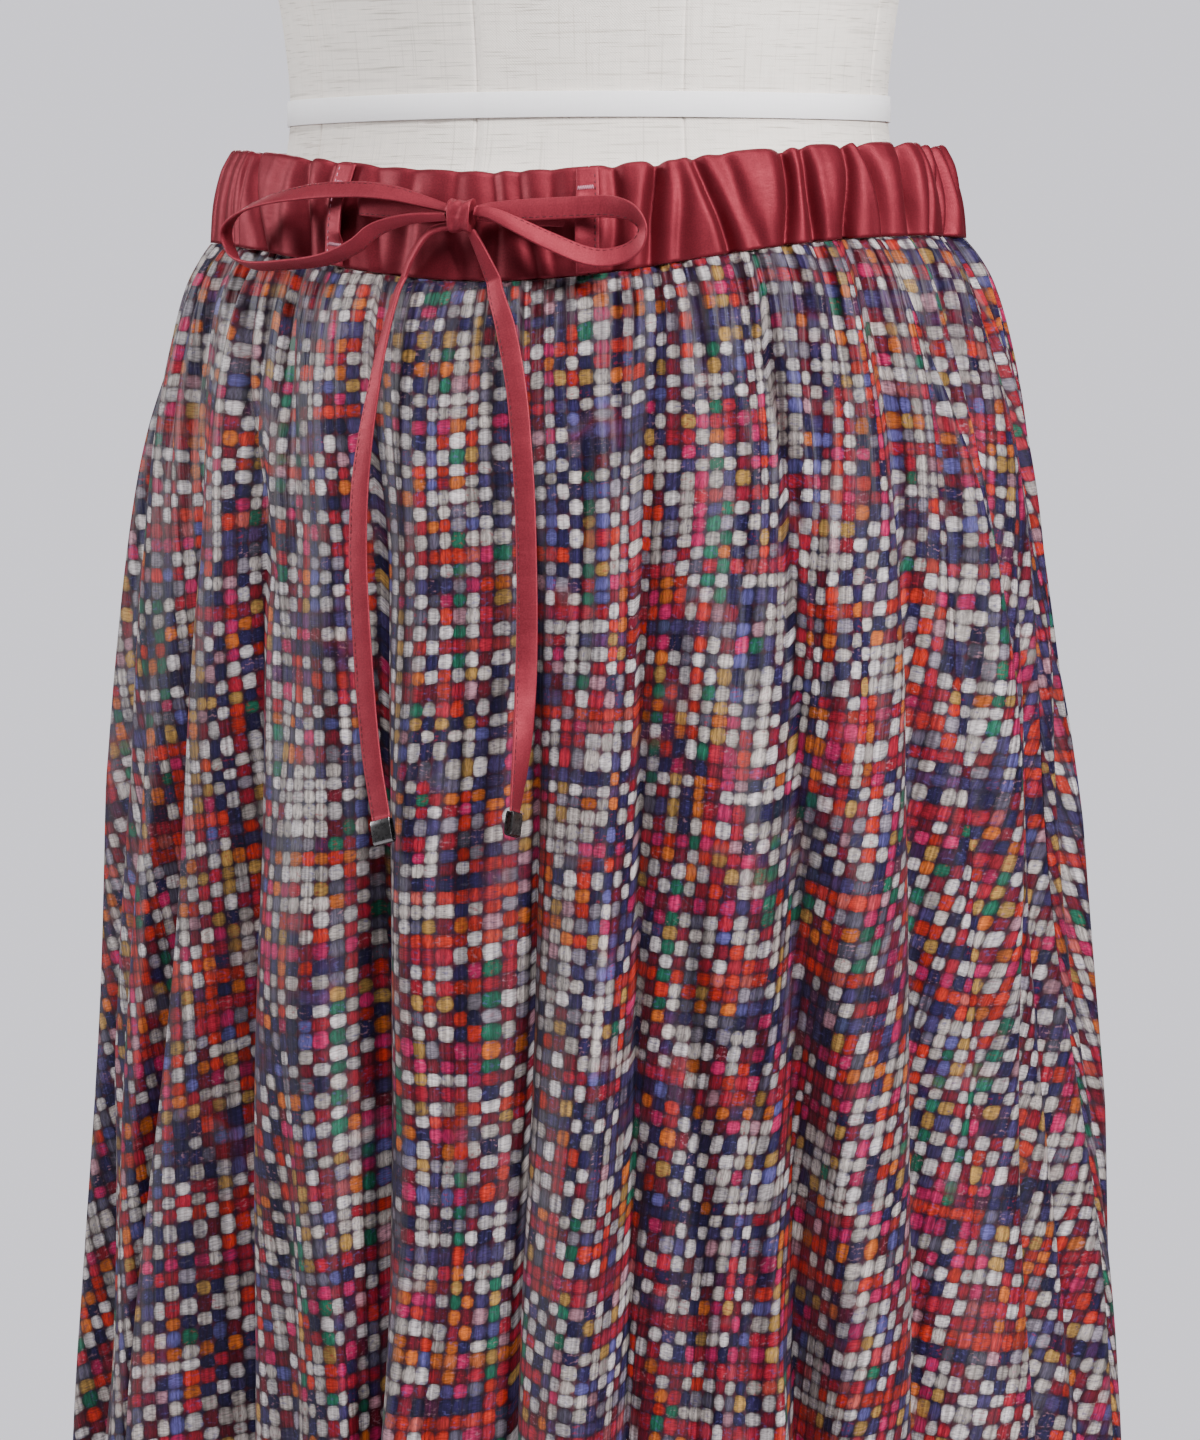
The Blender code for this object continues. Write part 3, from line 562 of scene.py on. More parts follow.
def route(rows, stations):
    """Places along a tie's route with the way across it, the way out of it, and its width."""
    at = np.linspace(0, len(rows["around"]) - 1, stations)
    around, height, off, twist, width = (smooth_through(rows[name], at) for name in ROUTE.split())
    places, outs = [], []
    for k in range(stations):
        place, normal = outermost(angle_at(around[k] * MM, height[k] * MM), height[k] * MM)
        places.append(place + normal * off[k] * MM)
        outs.append(normal)
    frames = []
    for k, place in enumerate(places):
        along = (places[min(k + 1, stations - 1)] - places[max(k - 1, 0)]).normalized()
        across = outs[k].cross(along).normalized()
        out = along.cross(across).normalized()
        turn = math.radians(twist[k])
        across, out = (
            across * math.cos(turn) + out * math.sin(turn),
            out * math.cos(turn) - across * math.sin(turn),
        )
        frames.append((place, across, out, width[k] * MM))
    return frames


RIBBON_SECTION = (
    (-0.50, 0.0), (-0.485, 0.36), (-0.44, 0.5), (-0.36, 0.44), (-0.31, 0.49), (0.0, 0.52),
    (0.44, 0.5), (0.485, 0.36), (0.50, 0.0), (0.485, -0.36), (0.44, -0.5), (0.0, -0.52),
    (-0.31, -0.49), (-0.36, -0.44), (-0.44, -0.5), (-0.485, -0.36),
)
STITCH_ACROSS = -0.36
# Where it is pinched narrower than this, no stitches show
STITCHED_WIDTH = 5.4 * MM


def add_ribbon(name, rows, stations, node):
    """A stretch of the ribbon along its route, with the stitches that hold its fold."""
    frames = route(rows, stations)
    points, places = [], []
    run = 0.0
    for k, (place, across, out, width) in enumerate(frames):
        run += (place - frames[max(k - 1, 0)][0]).length
        ripple = 0.10 * math.sin(run / (4.1 * MM)) + 0.07 * math.sin(run / (1.7 * MM) + 1)
        pinch = min(1.0, width / TIE_WIDTH)
        swell = 1 + 0.9 * (1 - pinch)
        for u, v in RIBBON_SECTION:
            bow = ripple * (1 - 4 * u * u) * TIE_THICKNESS
            points.append(place + across * width * u + out * (TIE_THICKNESS * swell * v + bow))
            places.append((u * TIE_WIDTH + (0.02 if v < 0 else 0), run))
    sides = len(RIBBON_SECTION)
    faces = ring_faces(stations, sides) + [end[::-1] for end in end_faces(stations, sides)]
    cloth_faces = len(faces)
    wide = [f for f in frames if f[3] > STITCHED_WIDTH]
    for side in (1, -1) if len(wide) > 3 else ():
        over = side * TIE_THICKNESS * 0.46
        line = [(p + a * w * STITCH_ACROSS + o * over, o * side) for p, a, o, w in wide]
        sew(points, faces, line, 1.9 * MM, 0.7 * MM, 0.13 * MM)
    places += [(0, 0)] * (len(points) - len(places))
    obj = mesh_object(name, points, faces)
    set_cloth_map(obj, places)
    obj.data.materials.append(LIT_TIE_SATIN)
    obj.data.materials.append(RED_THREAD)
    for face in obj.data.polygons[cloth_faces:]:
        face.material_index = 1
    stand_in(obj, node)
    return frames


def gunmetal():
    """Dark polished metal with faint rubbing marks."""
    material, n, shader = new_material("gunmetal", Metallic=1.0)
    place = n.add("TexCoord").outputs["Object"]
    rub = n.noise(place, 900, 2)
    tint = n.mix(rub, srgb(96, 94, 96), srgb(128, 126, 127))
    n.link(tint, shader, "Base Color")
    n.link(n.ramp(rub, 0.25, 0.75, 0.26, 0.32), shader, "Roughness")
    return material


GUNMETAL = gunmetal()
CLAMP_WIDTH, CLAMP_DEPTH, CLAMP_HEIGHT = 8.2 * MM, 3.3 * MM, 9.2 * MM
CLAMP_SHEET = 0.55 * MM


def add_clamp(name, frames, node):
    """A tie end: a small metal sheet folded under the ribbon's end and pinched shut on it."""
    place, across, out, _ = frames[-1]
    along = (place - frames[-2][0]).normalized()
    across = across.normalized()
    out = along.cross(across) if along.cross(across).dot(out) > 0 else across.cross(along)
    half, deep = CLAMP_DEPTH / 2, CLAMP_DEPTH / 2 - CLAMP_SHEET
    turns = [math.pi * k / 8 for k in range(9)]
    bottom = CLAMP_HEIGHT - half
    outline = [(half * 0.72, 0), (half * 0.95, 0.9 * MM), (half, 2 * MM), (half, bottom)]
    outline += [(half * math.cos(t), bottom + half * math.sin(t)) for t in turns[1:-1]]
    outline += [(-half, bottom), (-half, 2 * MM), (-half * 0.95, 0.9 * MM), (-half * 0.72, 0)]
    outline += [(-deep * 0.55, 0.1 * MM), (-deep, 2 * MM), (-deep, bottom)]
    outline += [(-deep * math.cos(t), bottom + deep * math.sin(t)) for t in turns[1:-1]]
    outline += [(deep, bottom), (deep, 2 * MM), (deep * 0.55, 0.1 * MM)]
    sections = ((-0.5, 0.90), (-0.485, 0.97), (-0.455, 1.0), (0.455, 1.0), (0.485, 0.97), (0.5, 0.90))
    middle = CLAMP_HEIGHT / 2
    points = []
    for share, size in sections:
        for depth, down in outline:
            down = middle + (down - middle) * (0.97 + 0.03 * size)
            points.append(place + across * CLAMP_WIDTH * share + out * depth * size + along * down)
    sides = len(outline)
    faces = ring_faces(len(sections), sides)
    for start in (0, (len(sections) - 1) * sides):
        for s in range(sides // 2 - 1):
            faces.append((start + s, start + s + 1, start + sides - 2 - s, start + sides - 1 - s))
    obj = mesh_object(name, points, faces)
    obj.data.set_sharp_from_angle(angle=math.radians(38))
    obj.data.materials.append(GUNMETAL)
    stand_in(obj, node)
    return obj


clamp_l = add_clamp("clamp_l", route(TAIL_L, 120), "tie_end_l")
clamp_r = add_clamp("clamp_r", route(TAIL_R, 120), "tie_end_r")
add_ribbon("ribbon_lead_l", LEAD_L, 34, "tie_lead_l")
add_ribbon("ribbon_lead_r", LEAD_R, 40, "tie_lead_r")
add_ribbon("ribbon_loop_l", LOOP_L, 130, "tie_loop_l")
add_ribbon("ribbon_loop_r", LOOP_R, 170, "tie_loop_r")
add_ribbon("ribbon_tail_l", TAIL_L, 150, "tie_tail_l")
add_ribbon("ribbon_tail_r", TAIL_R, 150, "tie_tail_r")


# Knot of the bow
# The ribbon's own turn round both loops: a short upright band, pinched at its two sides, where
# the loops, leads and tails go in under its edges.
KNOT_WIDTH, KNOT_HEIGHT, KNOT_DEPTH = 8.8 * MM, 12.6 * MM, 8.6 * MM


def add_knot():
    around, height, off = KNOT_PLACE
    middle, out = outermost(angle_at(around * MM, height * MM), height * MM)
    middle = middle + out * off * MM
    side, up = Vector((-out.y, out.x, 0)), Vector((0, 0, 1))
    turns, steps = 56, 22
    shares = np.linspace(-1, 1, steps)
    points, places, faces = [], [], []
    for share in shares:
        edge = abs(share)
        size = (0.90 + 0.10 * edge ** 2) * (1 - 0.9 * max(0, edge - 0.93))
        for k in range(turns):
            t = 2 * math.pi * k / turns
            square = (abs(math.cos(t)) ** 2.6 + abs(math.sin(t)) ** 2.6) ** (-1 / 2.6)
            crease = 0.035 * math.sin(3 * share + 2.2 * t) + 0.03 * math.sin(7 * share - 3 * t)
            reach = size * square * (1 + crease)
            lean = 0.08 * math.sin(t + 0.6)
            points.append(
                middle + side * (share * KNOT_WIDTH / 2 * (1 + lean))
                + up * math.sin(t) * reach * KNOT_HEIGHT / 2 + out * math.cos(t) * reach * KNOT_DEPTH / 2
            )
            places.append((share * KNOT_WIDTH / 2, t * 5 * MM))
    for inset, size in ((0.84, 0.62), (0.55, 0.30)):
        for sign in (-1, 1):
            for k in range(turns):
                t = 2 * math.pi * k / turns
                points.append(
                    middle + side * (sign * inset * KNOT_WIDTH / 2)
                    + up * math.sin(t) * size * KNOT_HEIGHT / 2 + out * math.cos(t) * size * KNOT_DEPTH / 2
                )
                places.append((sign * inset * 5 * MM, t * 5 * MM))
    rings = [r * turns for r in range(steps)]
    low, high = [steps, steps + 2], [steps + 1, steps + 3]
    order = [low[1] * turns, low[0] * turns, *rings, high[0] * turns, high[1] * turns]
    for a, b in zip(order, order[1:]):
        faces += [(a + k, b + k, b + (k + 1) % turns, a + (k + 1) % turns) for k in range(turns)]
    faces.append(tuple(order[0] + k for k in range(turns)))
    faces.append(tuple(order[-1] + k for k in reversed(range(turns))))
    obj = mesh_object("ribbon_knot", points, faces)
    set_cloth_map(obj, places)
    obj.data.materials.append(LIT_TIE_SATIN)
    stand_in(obj, "tie_knot")


add_knot()


# Torso of the dress form
# A hard shell covered in unbleached linen panels, sewn along the centre, princess, side and back
# seams and stretched smooth. The arms are cut flat and the neck is round.
FORM = table(
    "above_waist half_width front back",
    (-215, 155, 108, 116),
    (-207, 160, 113, 121),
    (-180, 164, 118, 126),
    (-130, 159, 115, 121),
    (-90, 149.5, 109, 113),
    (-69, 143.5, 104.3, 107),
    (-48, 136.3, 97.5, 98.5),
    (-17, 118.9, 85.6, 86),
    (0, 117, 84, 84),
    (35, 120.3, 87, 88),
    (90, 134, 103, 97),
    (145, 143, 118, 101),
    (175, 146, 120, 102),
    (215, 150, 113, 102),
    (260, 158, 98, 99),
    (300, 164, 84, 93),
    (330, 163, 73, 85),
    (350, 148, 64, 78),
    (365, 120, 57, 71),
    (380, 86, 51, 66),
    (395, 63, 47, 62),
    (415, 55, 44, 60),
    (440, 53, 43, 59),
)
ARM_CUT = 0.149
FORM_SEAMS = (-1.5, 38.5, 90, 136, 180, 224, 270, 317.5)
SEAM_GROOVE = 0.6 * MM
FORM_LOW, FORM_HIGH = -0.215, 0.440


def degrees_from(middle, degrees):
    """How far angles lie from a middle one, from -180 to 180 degrees."""
    return (degrees - middle + 180) % 360 - 180


def form_place(angle, above, out=0.0):
    """Points on the torso at angles and a height above its waist, moved out."""
    x, y, nx, ny = oval(angle, *sizes(FORM, "above_waist", above / MM))
    x, y = x + nx * out, y + ny * out
    cut = np.clip(np.abs(x) - ARM_CUT, 0, None)
    return np.stack([np.sign(x) * np.minimum(np.abs(x), ARM_CUT + 0.02 * cut), y], -1)


def linen():
    """Unbleached plain linen with uneven slubs, mostly across, and darker specks of flax."""
    material, n, shader = new_material("form_linen", Sheen_Weight=0.25, Sheen_Roughness=0.6, Roughness=0.82)
    cloth, height, streaks = woven(n, 900, 1.0)
    slub = n.ramp(n.noise(n.stretch(cloth, 36, 1250), 1.0, 3, 0.6), 0.56, 0.70)
    long_slub = n.ramp(n.noise(n.stretch(cloth, 14, 520), 1.0, 2, 0.6), 0.57, 0.70)
    upright = n.ramp(n.noise(n.stretch(cloth, 900, 22), 1.0, 2, 0.6), 0.58, 0.70)
    cloudy = n.ramp(n.noise(cloth, 28, 3), 0.3, 0.7, 0.965, 1.02)
    shade = n.maths("ADD", cloudy, n.maths("MULTIPLY", streaks, 0.35))
    ground = n.add("HueSaturation", {"Color": srgb(246, 237, 228), "Value": shade}).outputs["Color"]
    flax = n.mix(n.maths("MULTIPLY", slub, 0.66), ground, srgb(150, 138, 124))
    flax = n.mix(n.maths("MULTIPLY", long_slub, 0.42), flax, srgb(168, 157, 144))
    flax = n.mix(n.maths("MULTIPLY", upright, 0.34), flax, srgb(176, 165, 152))
    n.link(flax, shader, "Base Color")
    raised = n.maths("ADD", height, n.maths("MULTIPLY", slub, 1.6))
    n.link(n.bump(raised, 0.35, 0.00012), shader, "Normal")
    return material


def add_torso():
    even = np.linspace(0, 360, 241)[:-1]
    beside = [(degrees + off) % 360 for degrees in FORM_SEAMS for off in (-0.7, -0.35, 0, 0.35, 0.7)]
    angles = np.radians(np.unique(np.concatenate([even, beside])))
    turns = len(angles)
    heights = np.linspace(FORM_LOW + 11.5 * MM, FORM_HIGH - 4 * MM, 200)
    heights = np.concatenate(
        [np.linspace(FORM_LOW, FORM_LOW + 8 * MM, 4), heights, [FORM_HIGH - 2 * MM, FORM_HIGH]]
    )
    seam = np.zeros(turns)
    for degrees in FORM_SEAMS:
        off = degrees_from(degrees, np.degrees(angles))
        seam = np.maximum(seam, np.exp(-((off / 0.3) ** 2)))
    points, places = [], []
    for above in heights:
        edge = 1 if above < FORM_HIGH - 4 * MM else 0
        flat = form_place(angles, above, 0)
        x, _, nx, ny = oval(angles, *sizes(FORM, "above_waist", above / MM))
        groove = seam * SEAM_GROOVE * edge * (np.abs(x) < ARM_CUT)
        flat = flat - np.stack([nx, ny], -1) * groove[:, None]
        points += [(px, py, WAIST_HEIGHT + above) for px, py in flat]
        places += [(a * 0.115, above) for a in angles]
    faces = ring_faces(len(heights), turns) + end_faces(len(heights), turns)
    obj = mesh_object("linen_torso", points, faces)
    obj.data.set_sharp_from_angle(angle=math.radians(50))
    set_cloth_map(obj, places)
    obj.data.materials.append(linen())
    stand_in(obj, "form_torso")


add_torso()


# Waist tape of the form
# A narrow white cotton tape, pinned flat round the form's waist to mark it.
TAPE_WIDTH, TAPE_THICKNESS, TAPE_GAP = 9.5 * MM, 0.7 * MM, 0.3 * MM


def cotton():
    material, n, shader = new_material("tape_cotton", Roughness=0.8, Sheen_Weight=0.2)
    _, height, streaks = woven(n, 1400, 0.5)
    dye(n, shader, (251, 249, 252), n.maths("ADD", 1.0, n.maths("MULTIPLY", streaks, 0.3)))
    n.link(n.bump(height, 0.3, 0.00008), shader, "Normal")
    return material


def add_tape():
    turns = 240
    angles = np.linspace(0, 2 * math.pi, turns + 1)[:-1]
    section = (
        (-0.5, 0.15), (-0.5, 0.8), (-0.46, 1.0), (0.46, 1.0), (0.5, 0.8), (0.5, 0.15), (0.46, 0), (-0.46, 0),
    )
    points, places = [], []
    for share, depth in section:
        above = share * TAPE_WIDTH
        flat = form_place(angles, above, TAPE_GAP + depth * TAPE_THICKNESS)
        wander = 0.25 * MM * np.sin(angles * 3 + 1)
        points += [(x, y, WAIST_HEIGHT + above + w) for (x, y), w in zip(flat, wander)]
        places += [(a * 0.102, above) for a in angles]
    faces = []
    for r in range(len(section)):
        after = (r + 1) % len(section)
        for k in range(turns):
            b = (k + 1) % turns
            faces.append((r * turns + k, after * turns + k, after * turns + b, r * turns + b))
    obj = mesh_object("waist_tape", points, faces)
    obj.data.set_sharp_from_angle(angle=math.radians(60))
    set_cloth_map(obj, places)
    obj.data.materials.append(cotton())
    stand_in(obj, "form_waist_tape")


add_tape()


# Wood of the neck cap and the arm plates
# Turned and sawn beech, sanded and varnished, screwed to the shell's openings.
def wood():
    material, n, shader = new_material("varnished_wood", Coat_Weight=0.35, Coat_Roughness=0.25)
    place = n.add("TexCoord").outputs["Object"]
    bend = n.noise(n.stretch(place, 7, 7, 1.5), 1.0, 2)
    depth = n.add("SeparateXYZ", {0: place}).outputs["Y"]
    ring = n.maths("ADD", n.maths("MULTIPLY", depth, 210), n.maths("MULTIPLY", bend, 9))
    grain = n.maths("ADD", n.maths("MULTIPLY", n.maths("SINE", ring), 0.5), 0.5)
    pores = n.ramp(n.noise(n.stretch(place, 900, 900, 60), 1.0, 2), 0.55, 0.75)
    tone = n.mix(grain, srgb(176, 132, 88), srgb(206, 166, 118))
    tone = n.mix(n.maths("MULTIPLY", pores, 0.45), tone, srgb(120, 82, 50))
    n.link(tone, shader, "Base Color")
    n.link(n.ramp(grain, 0, 1, 0.42, 0.52), shader, "Roughness")
    n.link(n.bump(pores, 0.2, 0.0001), shader, "Normal")
    return material


WOOD = wood()
for plate in ("form_arm_plate_l", "form_arm_plate_r"):
    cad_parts[plate].data.materials.clear()
    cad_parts[plate].data.materials.append(WOOD)


def add_turned(name, profile, material, node, centre_y=0.0, sides=96):
    """A piece turned about an upright axis from (radius, height) points, bottom to top."""
    angles = np.linspace(0, 2 * math.pi, sides + 1)[:-1]
    points = [
        (radius * math.cos(a), centre_y + radius * math.sin(a), height)
        for radius, height in profile for a in angles
    ]
    obj = mesh_object(name, points, ring_faces(len(profile), sides) + end_faces(len(profile), sides))
    obj.data.set_sharp_from_angle(angle=math.radians(35))
    obj.data.materials.append(material)
    stand_in(obj, node)


def rounded(profile, steps=5, share=0.35):
    """A turned profile with its corners rounded off between the straight runs."""
    points = [profile[0]]
    for before, at, after in zip(profile, profile[1:], profile[2:]):
        before, at, after = (np.array(p, float) for p in (before, at, after))
        a, b = at + (before - at) * share, at + (after - at) * share
        for t in np.linspace(0, 1, steps):
            points.append(tuple((1 - t) ** 2 * a + 2 * t * (1 - t) * at + t * t * b))
    return points + [profile[-1]]


NECK_CENTRE = 8 * MM
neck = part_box("form_neck_cap")[0].z
# Radius and height above the neck's end, in mm
cap_profile = (
    (50, 0), (52, 3), (50, 8), (27.5, 14), (12, 18), (12, 26), (18, 33), (15, 42), (6, 46),
)
add_turned(
    "turned_neck_cap", rounded([(radius * MM, neck + up * MM) for radius, up in cap_profile]),
    WOOD, "form_neck_cap", NECK_CENTRE,
)


# Stand: the pole with its flange, and the round base with its hub
# A steel tube stands in the hub of a flat pressed-steel base, powder-coated in off-white.
def powder_coat():
    material, n, shader = new_material("powder_coat", Specular_IOR_Level=0.5)
    place = n.add("TexCoord").outputs["Object"]
    peel = n.noise(place, 900, 2)
    dust = n.ramp(n.noise(place, 14, 4), 0.35, 0.75)
    tone = n.mix(n.maths("MULTIPLY", dust, 0.5), srgb(226, 224, 220), srgb(212, 209, 203))
    n.link(tone, shader, "Base Color")
    n.link(n.ramp(peel, 0.2, 0.8, 0.38, 0.48), shader, "Roughness")
    n.link(n.bump(peel, 0.25, 0.0002), shader, "Normal")
    return material


def brushed_steel():
    material, n, shader = new_material("brushed_steel", Metallic=1.0)
    place = n.add("TexCoord").outputs["Object"]
    brush = n.noise(n.stretch(place, 60, 60, 4200), 1.0, 2)
    n.link(n.mix(brush, srgb(168, 168, 170), srgb(196, 196, 197)), shader, "Base Color")
    n.link(n.ramp(brush, 0.2, 0.8, 0.24, 0.36), shader, "Roughness")
    return material


BASE_RADIUS, BASE_THICKNESS, HUB_RADIUS = 0.170, 14 * MM, 0.034
hub_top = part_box("stand_base")[1].z
add_turned(
    "round_base",
    rounded([
        (BASE_RADIUS - 2 * MM, 0), (BASE_RADIUS, 2 * MM), (BASE_RADIUS, BASE_THICKNESS - 5 * MM),
        (BASE_RADIUS - 5 * MM, BASE_THICKNESS), (HUB_RADIUS + 6 * MM, BASE_THICKNESS),
        (HUB_RADIUS, BASE_THICKNESS + 5 * MM), (HUB_RADIUS * 0.72, hub_top - 4 * MM),
        (HUB_RADIUS * 0.66, hub_top),
    ], share=0.22),
    powder_coat(), "stand_base", sides=144,
)
POLE_RADIUS, FLANGE_RADIUS, FLANGE_THICKNESS = 12.5 * MM, 0.055, 8 * MM
pole_low, pole_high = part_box("stand_pole")[0].z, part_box("stand_pole")[1].z
add_turned(
    "steel_pole",
    [
        (POLE_RADIUS, pole_low), (POLE_RADIUS, pole_high - 0.030),
        (POLE_RADIUS * 1.5, pole_high - 0.020), (POLE_RADIUS * 1.6, pole_high - FLANGE_THICKNESS),
        (FLANGE_RADIUS, pole_high - FLANGE_THICKNESS), (FLANGE_RADIUS, pole_high),
    ],
    brushed_steel(), "stand_pole",
)


# Waistband
# A satin casing folded over at its top. The part between the slits lies nearly flat, and the
# rest is gathered on wide elastic, so it stands in uneven upright folds round sides and back.
BAND_WALL = 2.4 * MM
BAND_HEIGHT = 0.040
# The share of its height at which the casing turns over
BAND_FOLD = 0.955
BAND_TOP_SCALLOP = 2.3 * MM
# Creases between the folds that show: where each runs, how wide its sides are, how deep it is,
# and how sharp (0 is a soft hollow, 1 a pinched crease), in degrees and mm
PLEATS = table(
    "at_top at_seam left right depth sharp",
    (-57.0, -55.5, 1.4, 1.0, 2.6, 0.5),
    (-52.6, -49.2, 0.5, 0.5, 1.1, 0.6),
    (-50.4, -46.4, 0.5, 0.5, 1.2, 0.6),
    (-46.8, -38.9, 2.0, 1.1, 5.4, 0.7),
    (-36.4, -34.6, 1.6, 1.8, 0.9, 0.0),
    (-31.0, -27.8, 2.3, 1.3, 5.0, 0.5),
    (-24.8, -23.2, 1.4, 1.6, 2.4, 0.3),
    (-15.5, -12.0, 1.5, 2.6, 1.9, 0.3),
    (-7.6, -9.6, 2.0, 1.6, 1.6, 0.0),
    (-1.0, 1.6, 1.2, 2.0, 1.5, 0.1),
    (5.2, 6.8, 1.8, 1.2, 2.0, 0.2),
    (9.6, 12.2, 1.4, 1.0, 1.6, 0.1),
    (14.2, 15.8, 1.0, 1.6, 1.5, 0.2),
    (24.6, 23.8, 1.2, 1.5, 3.4, 0.2),
    (31.0, 29.2, 0.9, 1.6, 6.2, 0.8),
    (34.4, 34.6, 1.0, 1.6, 1.6, 0.1),
    (37.6, 42.0, 0.8, 1.5, 5.0, 0.4),
    (41.6, 47.4, 1.8, 1.6, 2.0, 0.0),
    (53.6, 52.2, 1.6, 0.9, 7.0, 0.9),
    (57.0, 57.0, 1.4, 0.9, 4.6, 0.4),
    (65.8, 64.2, 1.8, 0.7, 6.6, 1.0),
    (69.6, 71.4, 0.6, 1.8, 4.8, 0.5),
    (80.6, 79.6, 1.8, 1.7, 5.4, 0.1),
    (86.0, 84.5, 0.5, 0.6, 1.3, 0.5),
)
FIRST_HIDDEN, LAST_HIDDEN = 91.0, 299.0
# Creases that run together go little deeper than this, in mm
PLEAT_REACH = 7.4


def hidden_pleats():
    """More creases of the same kinds, unevenly spaced round the back."""
    chance = np.random.default_rng(12)
    rows, at = [], FIRST_HIDDEN
    while at < LAST_HIDDEN:
        depth = chance.choice([1.2, 3.6, 4.8, 5.6, 6.6])
        width = 0.6 if depth < 2 else chance.uniform(1.0, 2.0)
        lean = chance.normal(0, 1.6)
        rows.append((at, at + lean, width, width * chance.uniform(0.6, 1.5), depth, chance.uniform(0, 1)))
        at += chance.choice([3.0, 4.2, 5.4, 7.0, 10.5]) if depth > 2 else 2.4
    return np.array(rows)


ALL_PLEATS = np.concatenate([np.array(list(PLEATS.values())).T, hidden_pleats()])


def pleats(degrees, share):
    """How far in the gathers' creases go, in mm, at angles and a share of the band's height."""
    sink = np.zeros(np.broadcast(degrees, share).shape)
    for k, (top, seam, left, right, depth, sharp) in enumerate(ALL_PLEATS):
        middle = seam + (top - seam) * share + 0.35 * np.sin(4.5 * share + 2.4 * k)
        off = degrees_from(middle, degrees)
        off = np.abs(np.where(off < 0, off / left, off / right))
        tuck = 1 + 0.22 * np.sin(3.1 * share + 1.7 * k)
        sink = sink + depth * tuck * np.exp(-(off ** (2 - 0.9 * sharp)))
    return np.minimum(sink, PLEAT_REACH + 0.2 * (sink - PLEAT_REACH))


def softly(t):
    """Turns a share from 0 to 1 into a soft start and end."""
    t = np.clip(t, 0, 1)
    return t * t * (3 - 2 * t)


def elastic(degrees):
    """1 round the elastic part of the waist, and little over the flat front panel."""
    off = np.abs(degrees_from(0, degrees))
    return 0.2 + 0.8 * softly((off - 19) / 14)


def rest_on_form(x, y, height, room):
    """Brings points of the cloth out to where they have this much room over the form."""
    above = height - WAIST_HEIGHT
    half_width, front, back = sizes(FORM, "above_waist", above / MM)
    depth = np.where(y < 0, front, back)
    reach = np.hypot(x / (half_width + room), y / (depth + room))
    below = np.clip((FORM_LOW - above) / 0.06, 0, 1)
    grow = 1 + (1 / np.minimum(reach, 1) - 1) * (1 - below)
    return x * grow, y * grow


def band_grid(degrees, shares, inset=0.0):
    """Points of the band's outside, a row for each share of its height, moved in by an inset."""
    d, s = np.meshgrid(degrees, shares)
    angle = np.radians(d)
    half_width, front, back = sizes(BAND, "share", s)
    swell = smooth(s, BAND["share"], BAND["gather"])
    fine = 0.10 * np.sin(d * 1.1 - 3 * s) + 0.05 * np.sin(d * 2.3 + 2.2 * s)
    tucked = pleats(d, s)
    sink = (tucked * swell + fine + 0.3) * MM + inset
    x, y, nx, ny = oval(angle, half_width, front, back)
    x, y = x - nx * sink, y - ny * sink
    top = band_top(angle) - BAND_TOP_SCALLOP * np.clip(tucked / 6, 0, 1)
    low = seam_height(angle)
    z = low + s * (top - low)
    x, y = rest_on_form(x, y, z, BAND_WALL - inset + 0.5 * MM)
    return np.stack([x, y, z], -1)


def closed_band(name, start, end, node):
    """One panel of the casing: its outside, the fold over the top, and its inside."""
    degrees = np.degrees(np.linspace(start, end, int((end - start) / math.radians(0.3))))
    up = np.linspace(0.0, BAND_FOLD, 28)
    turn = np.linspace(0, math.pi, 9)[1:-1]
    rows = [(share, 0.0) for share in up]
    rows += [
        (BAND_FOLD + (1 - BAND_FOLD) * math.sin(t), BAND_WALL * (1 - math.cos(t)) / 2) for t in turn
    ]
    rows += [(share, BAND_WALL) for share in up[::-3]]
    rows.append((0.0, BAND_WALL))
    grid = np.concatenate([band_grid(degrees, [share], inset) for share, inset in rows])
    count, across = grid.shape[:2]
    points = grid.reshape(-1, 3)
    faces = []
    for r in range(count):
        after = (r + 1) % count
        for c in range(across - 1):
            faces.append((r * across + c, r * across + c + 1, after * across + c + 1, after * across + c))
    faces.append(tuple(r * across for r in range(count)))
    faces.append(tuple(r * across + across - 1 for r in reversed(range(count))))
    obj = mesh_object(name, points, faces)
    run_across, run_up = (
        np.concatenate([[0], np.cumsum(np.linalg.norm(np.diff(line, axis=0), axis=1))])
        for line in (grid[12], grid[:, 0])
    )
    set_cloth_map(obj, [(u, v) for v in run_up for u in run_across])
    obj.data.materials.append(SHADED_BAND_SATIN)
    stand_in(obj, node)


FRONT_RADIUS = 0.115
# Neighbouring panels stay this far from the line between them
PANEL_TRIM = 0.15 * MM
panel_trim = PANEL_TRIM / FRONT_RADIUS
closed_band("band_front", -SLIT_ANGLE + panel_trim, SLIT_ANGLE - panel_trim, "waistband_front")
closed_band("band_elastic", SLIT_ANGLE + panel_trim, 2 * math.pi - SLIT_ANGLE - panel_trim, "waistband_back")


# Slit strips
# A folded satin strip is sewn over each slit along its outer side, one with red thread and one
# with pale. Its inner edge stands free between two bar tacks, and the tie comes out under it.
STRIP_WIDTH, STRIP_THICKNESS, STRIP_LIFT, STRIP_SEAT = 7.0 * MM, 1.0 * MM, 2.2 * MM, 0.6 * MM
SLIT_LOW, SLIT_HIGH = 0.22, 0.78
TACK_STITCHES = 18


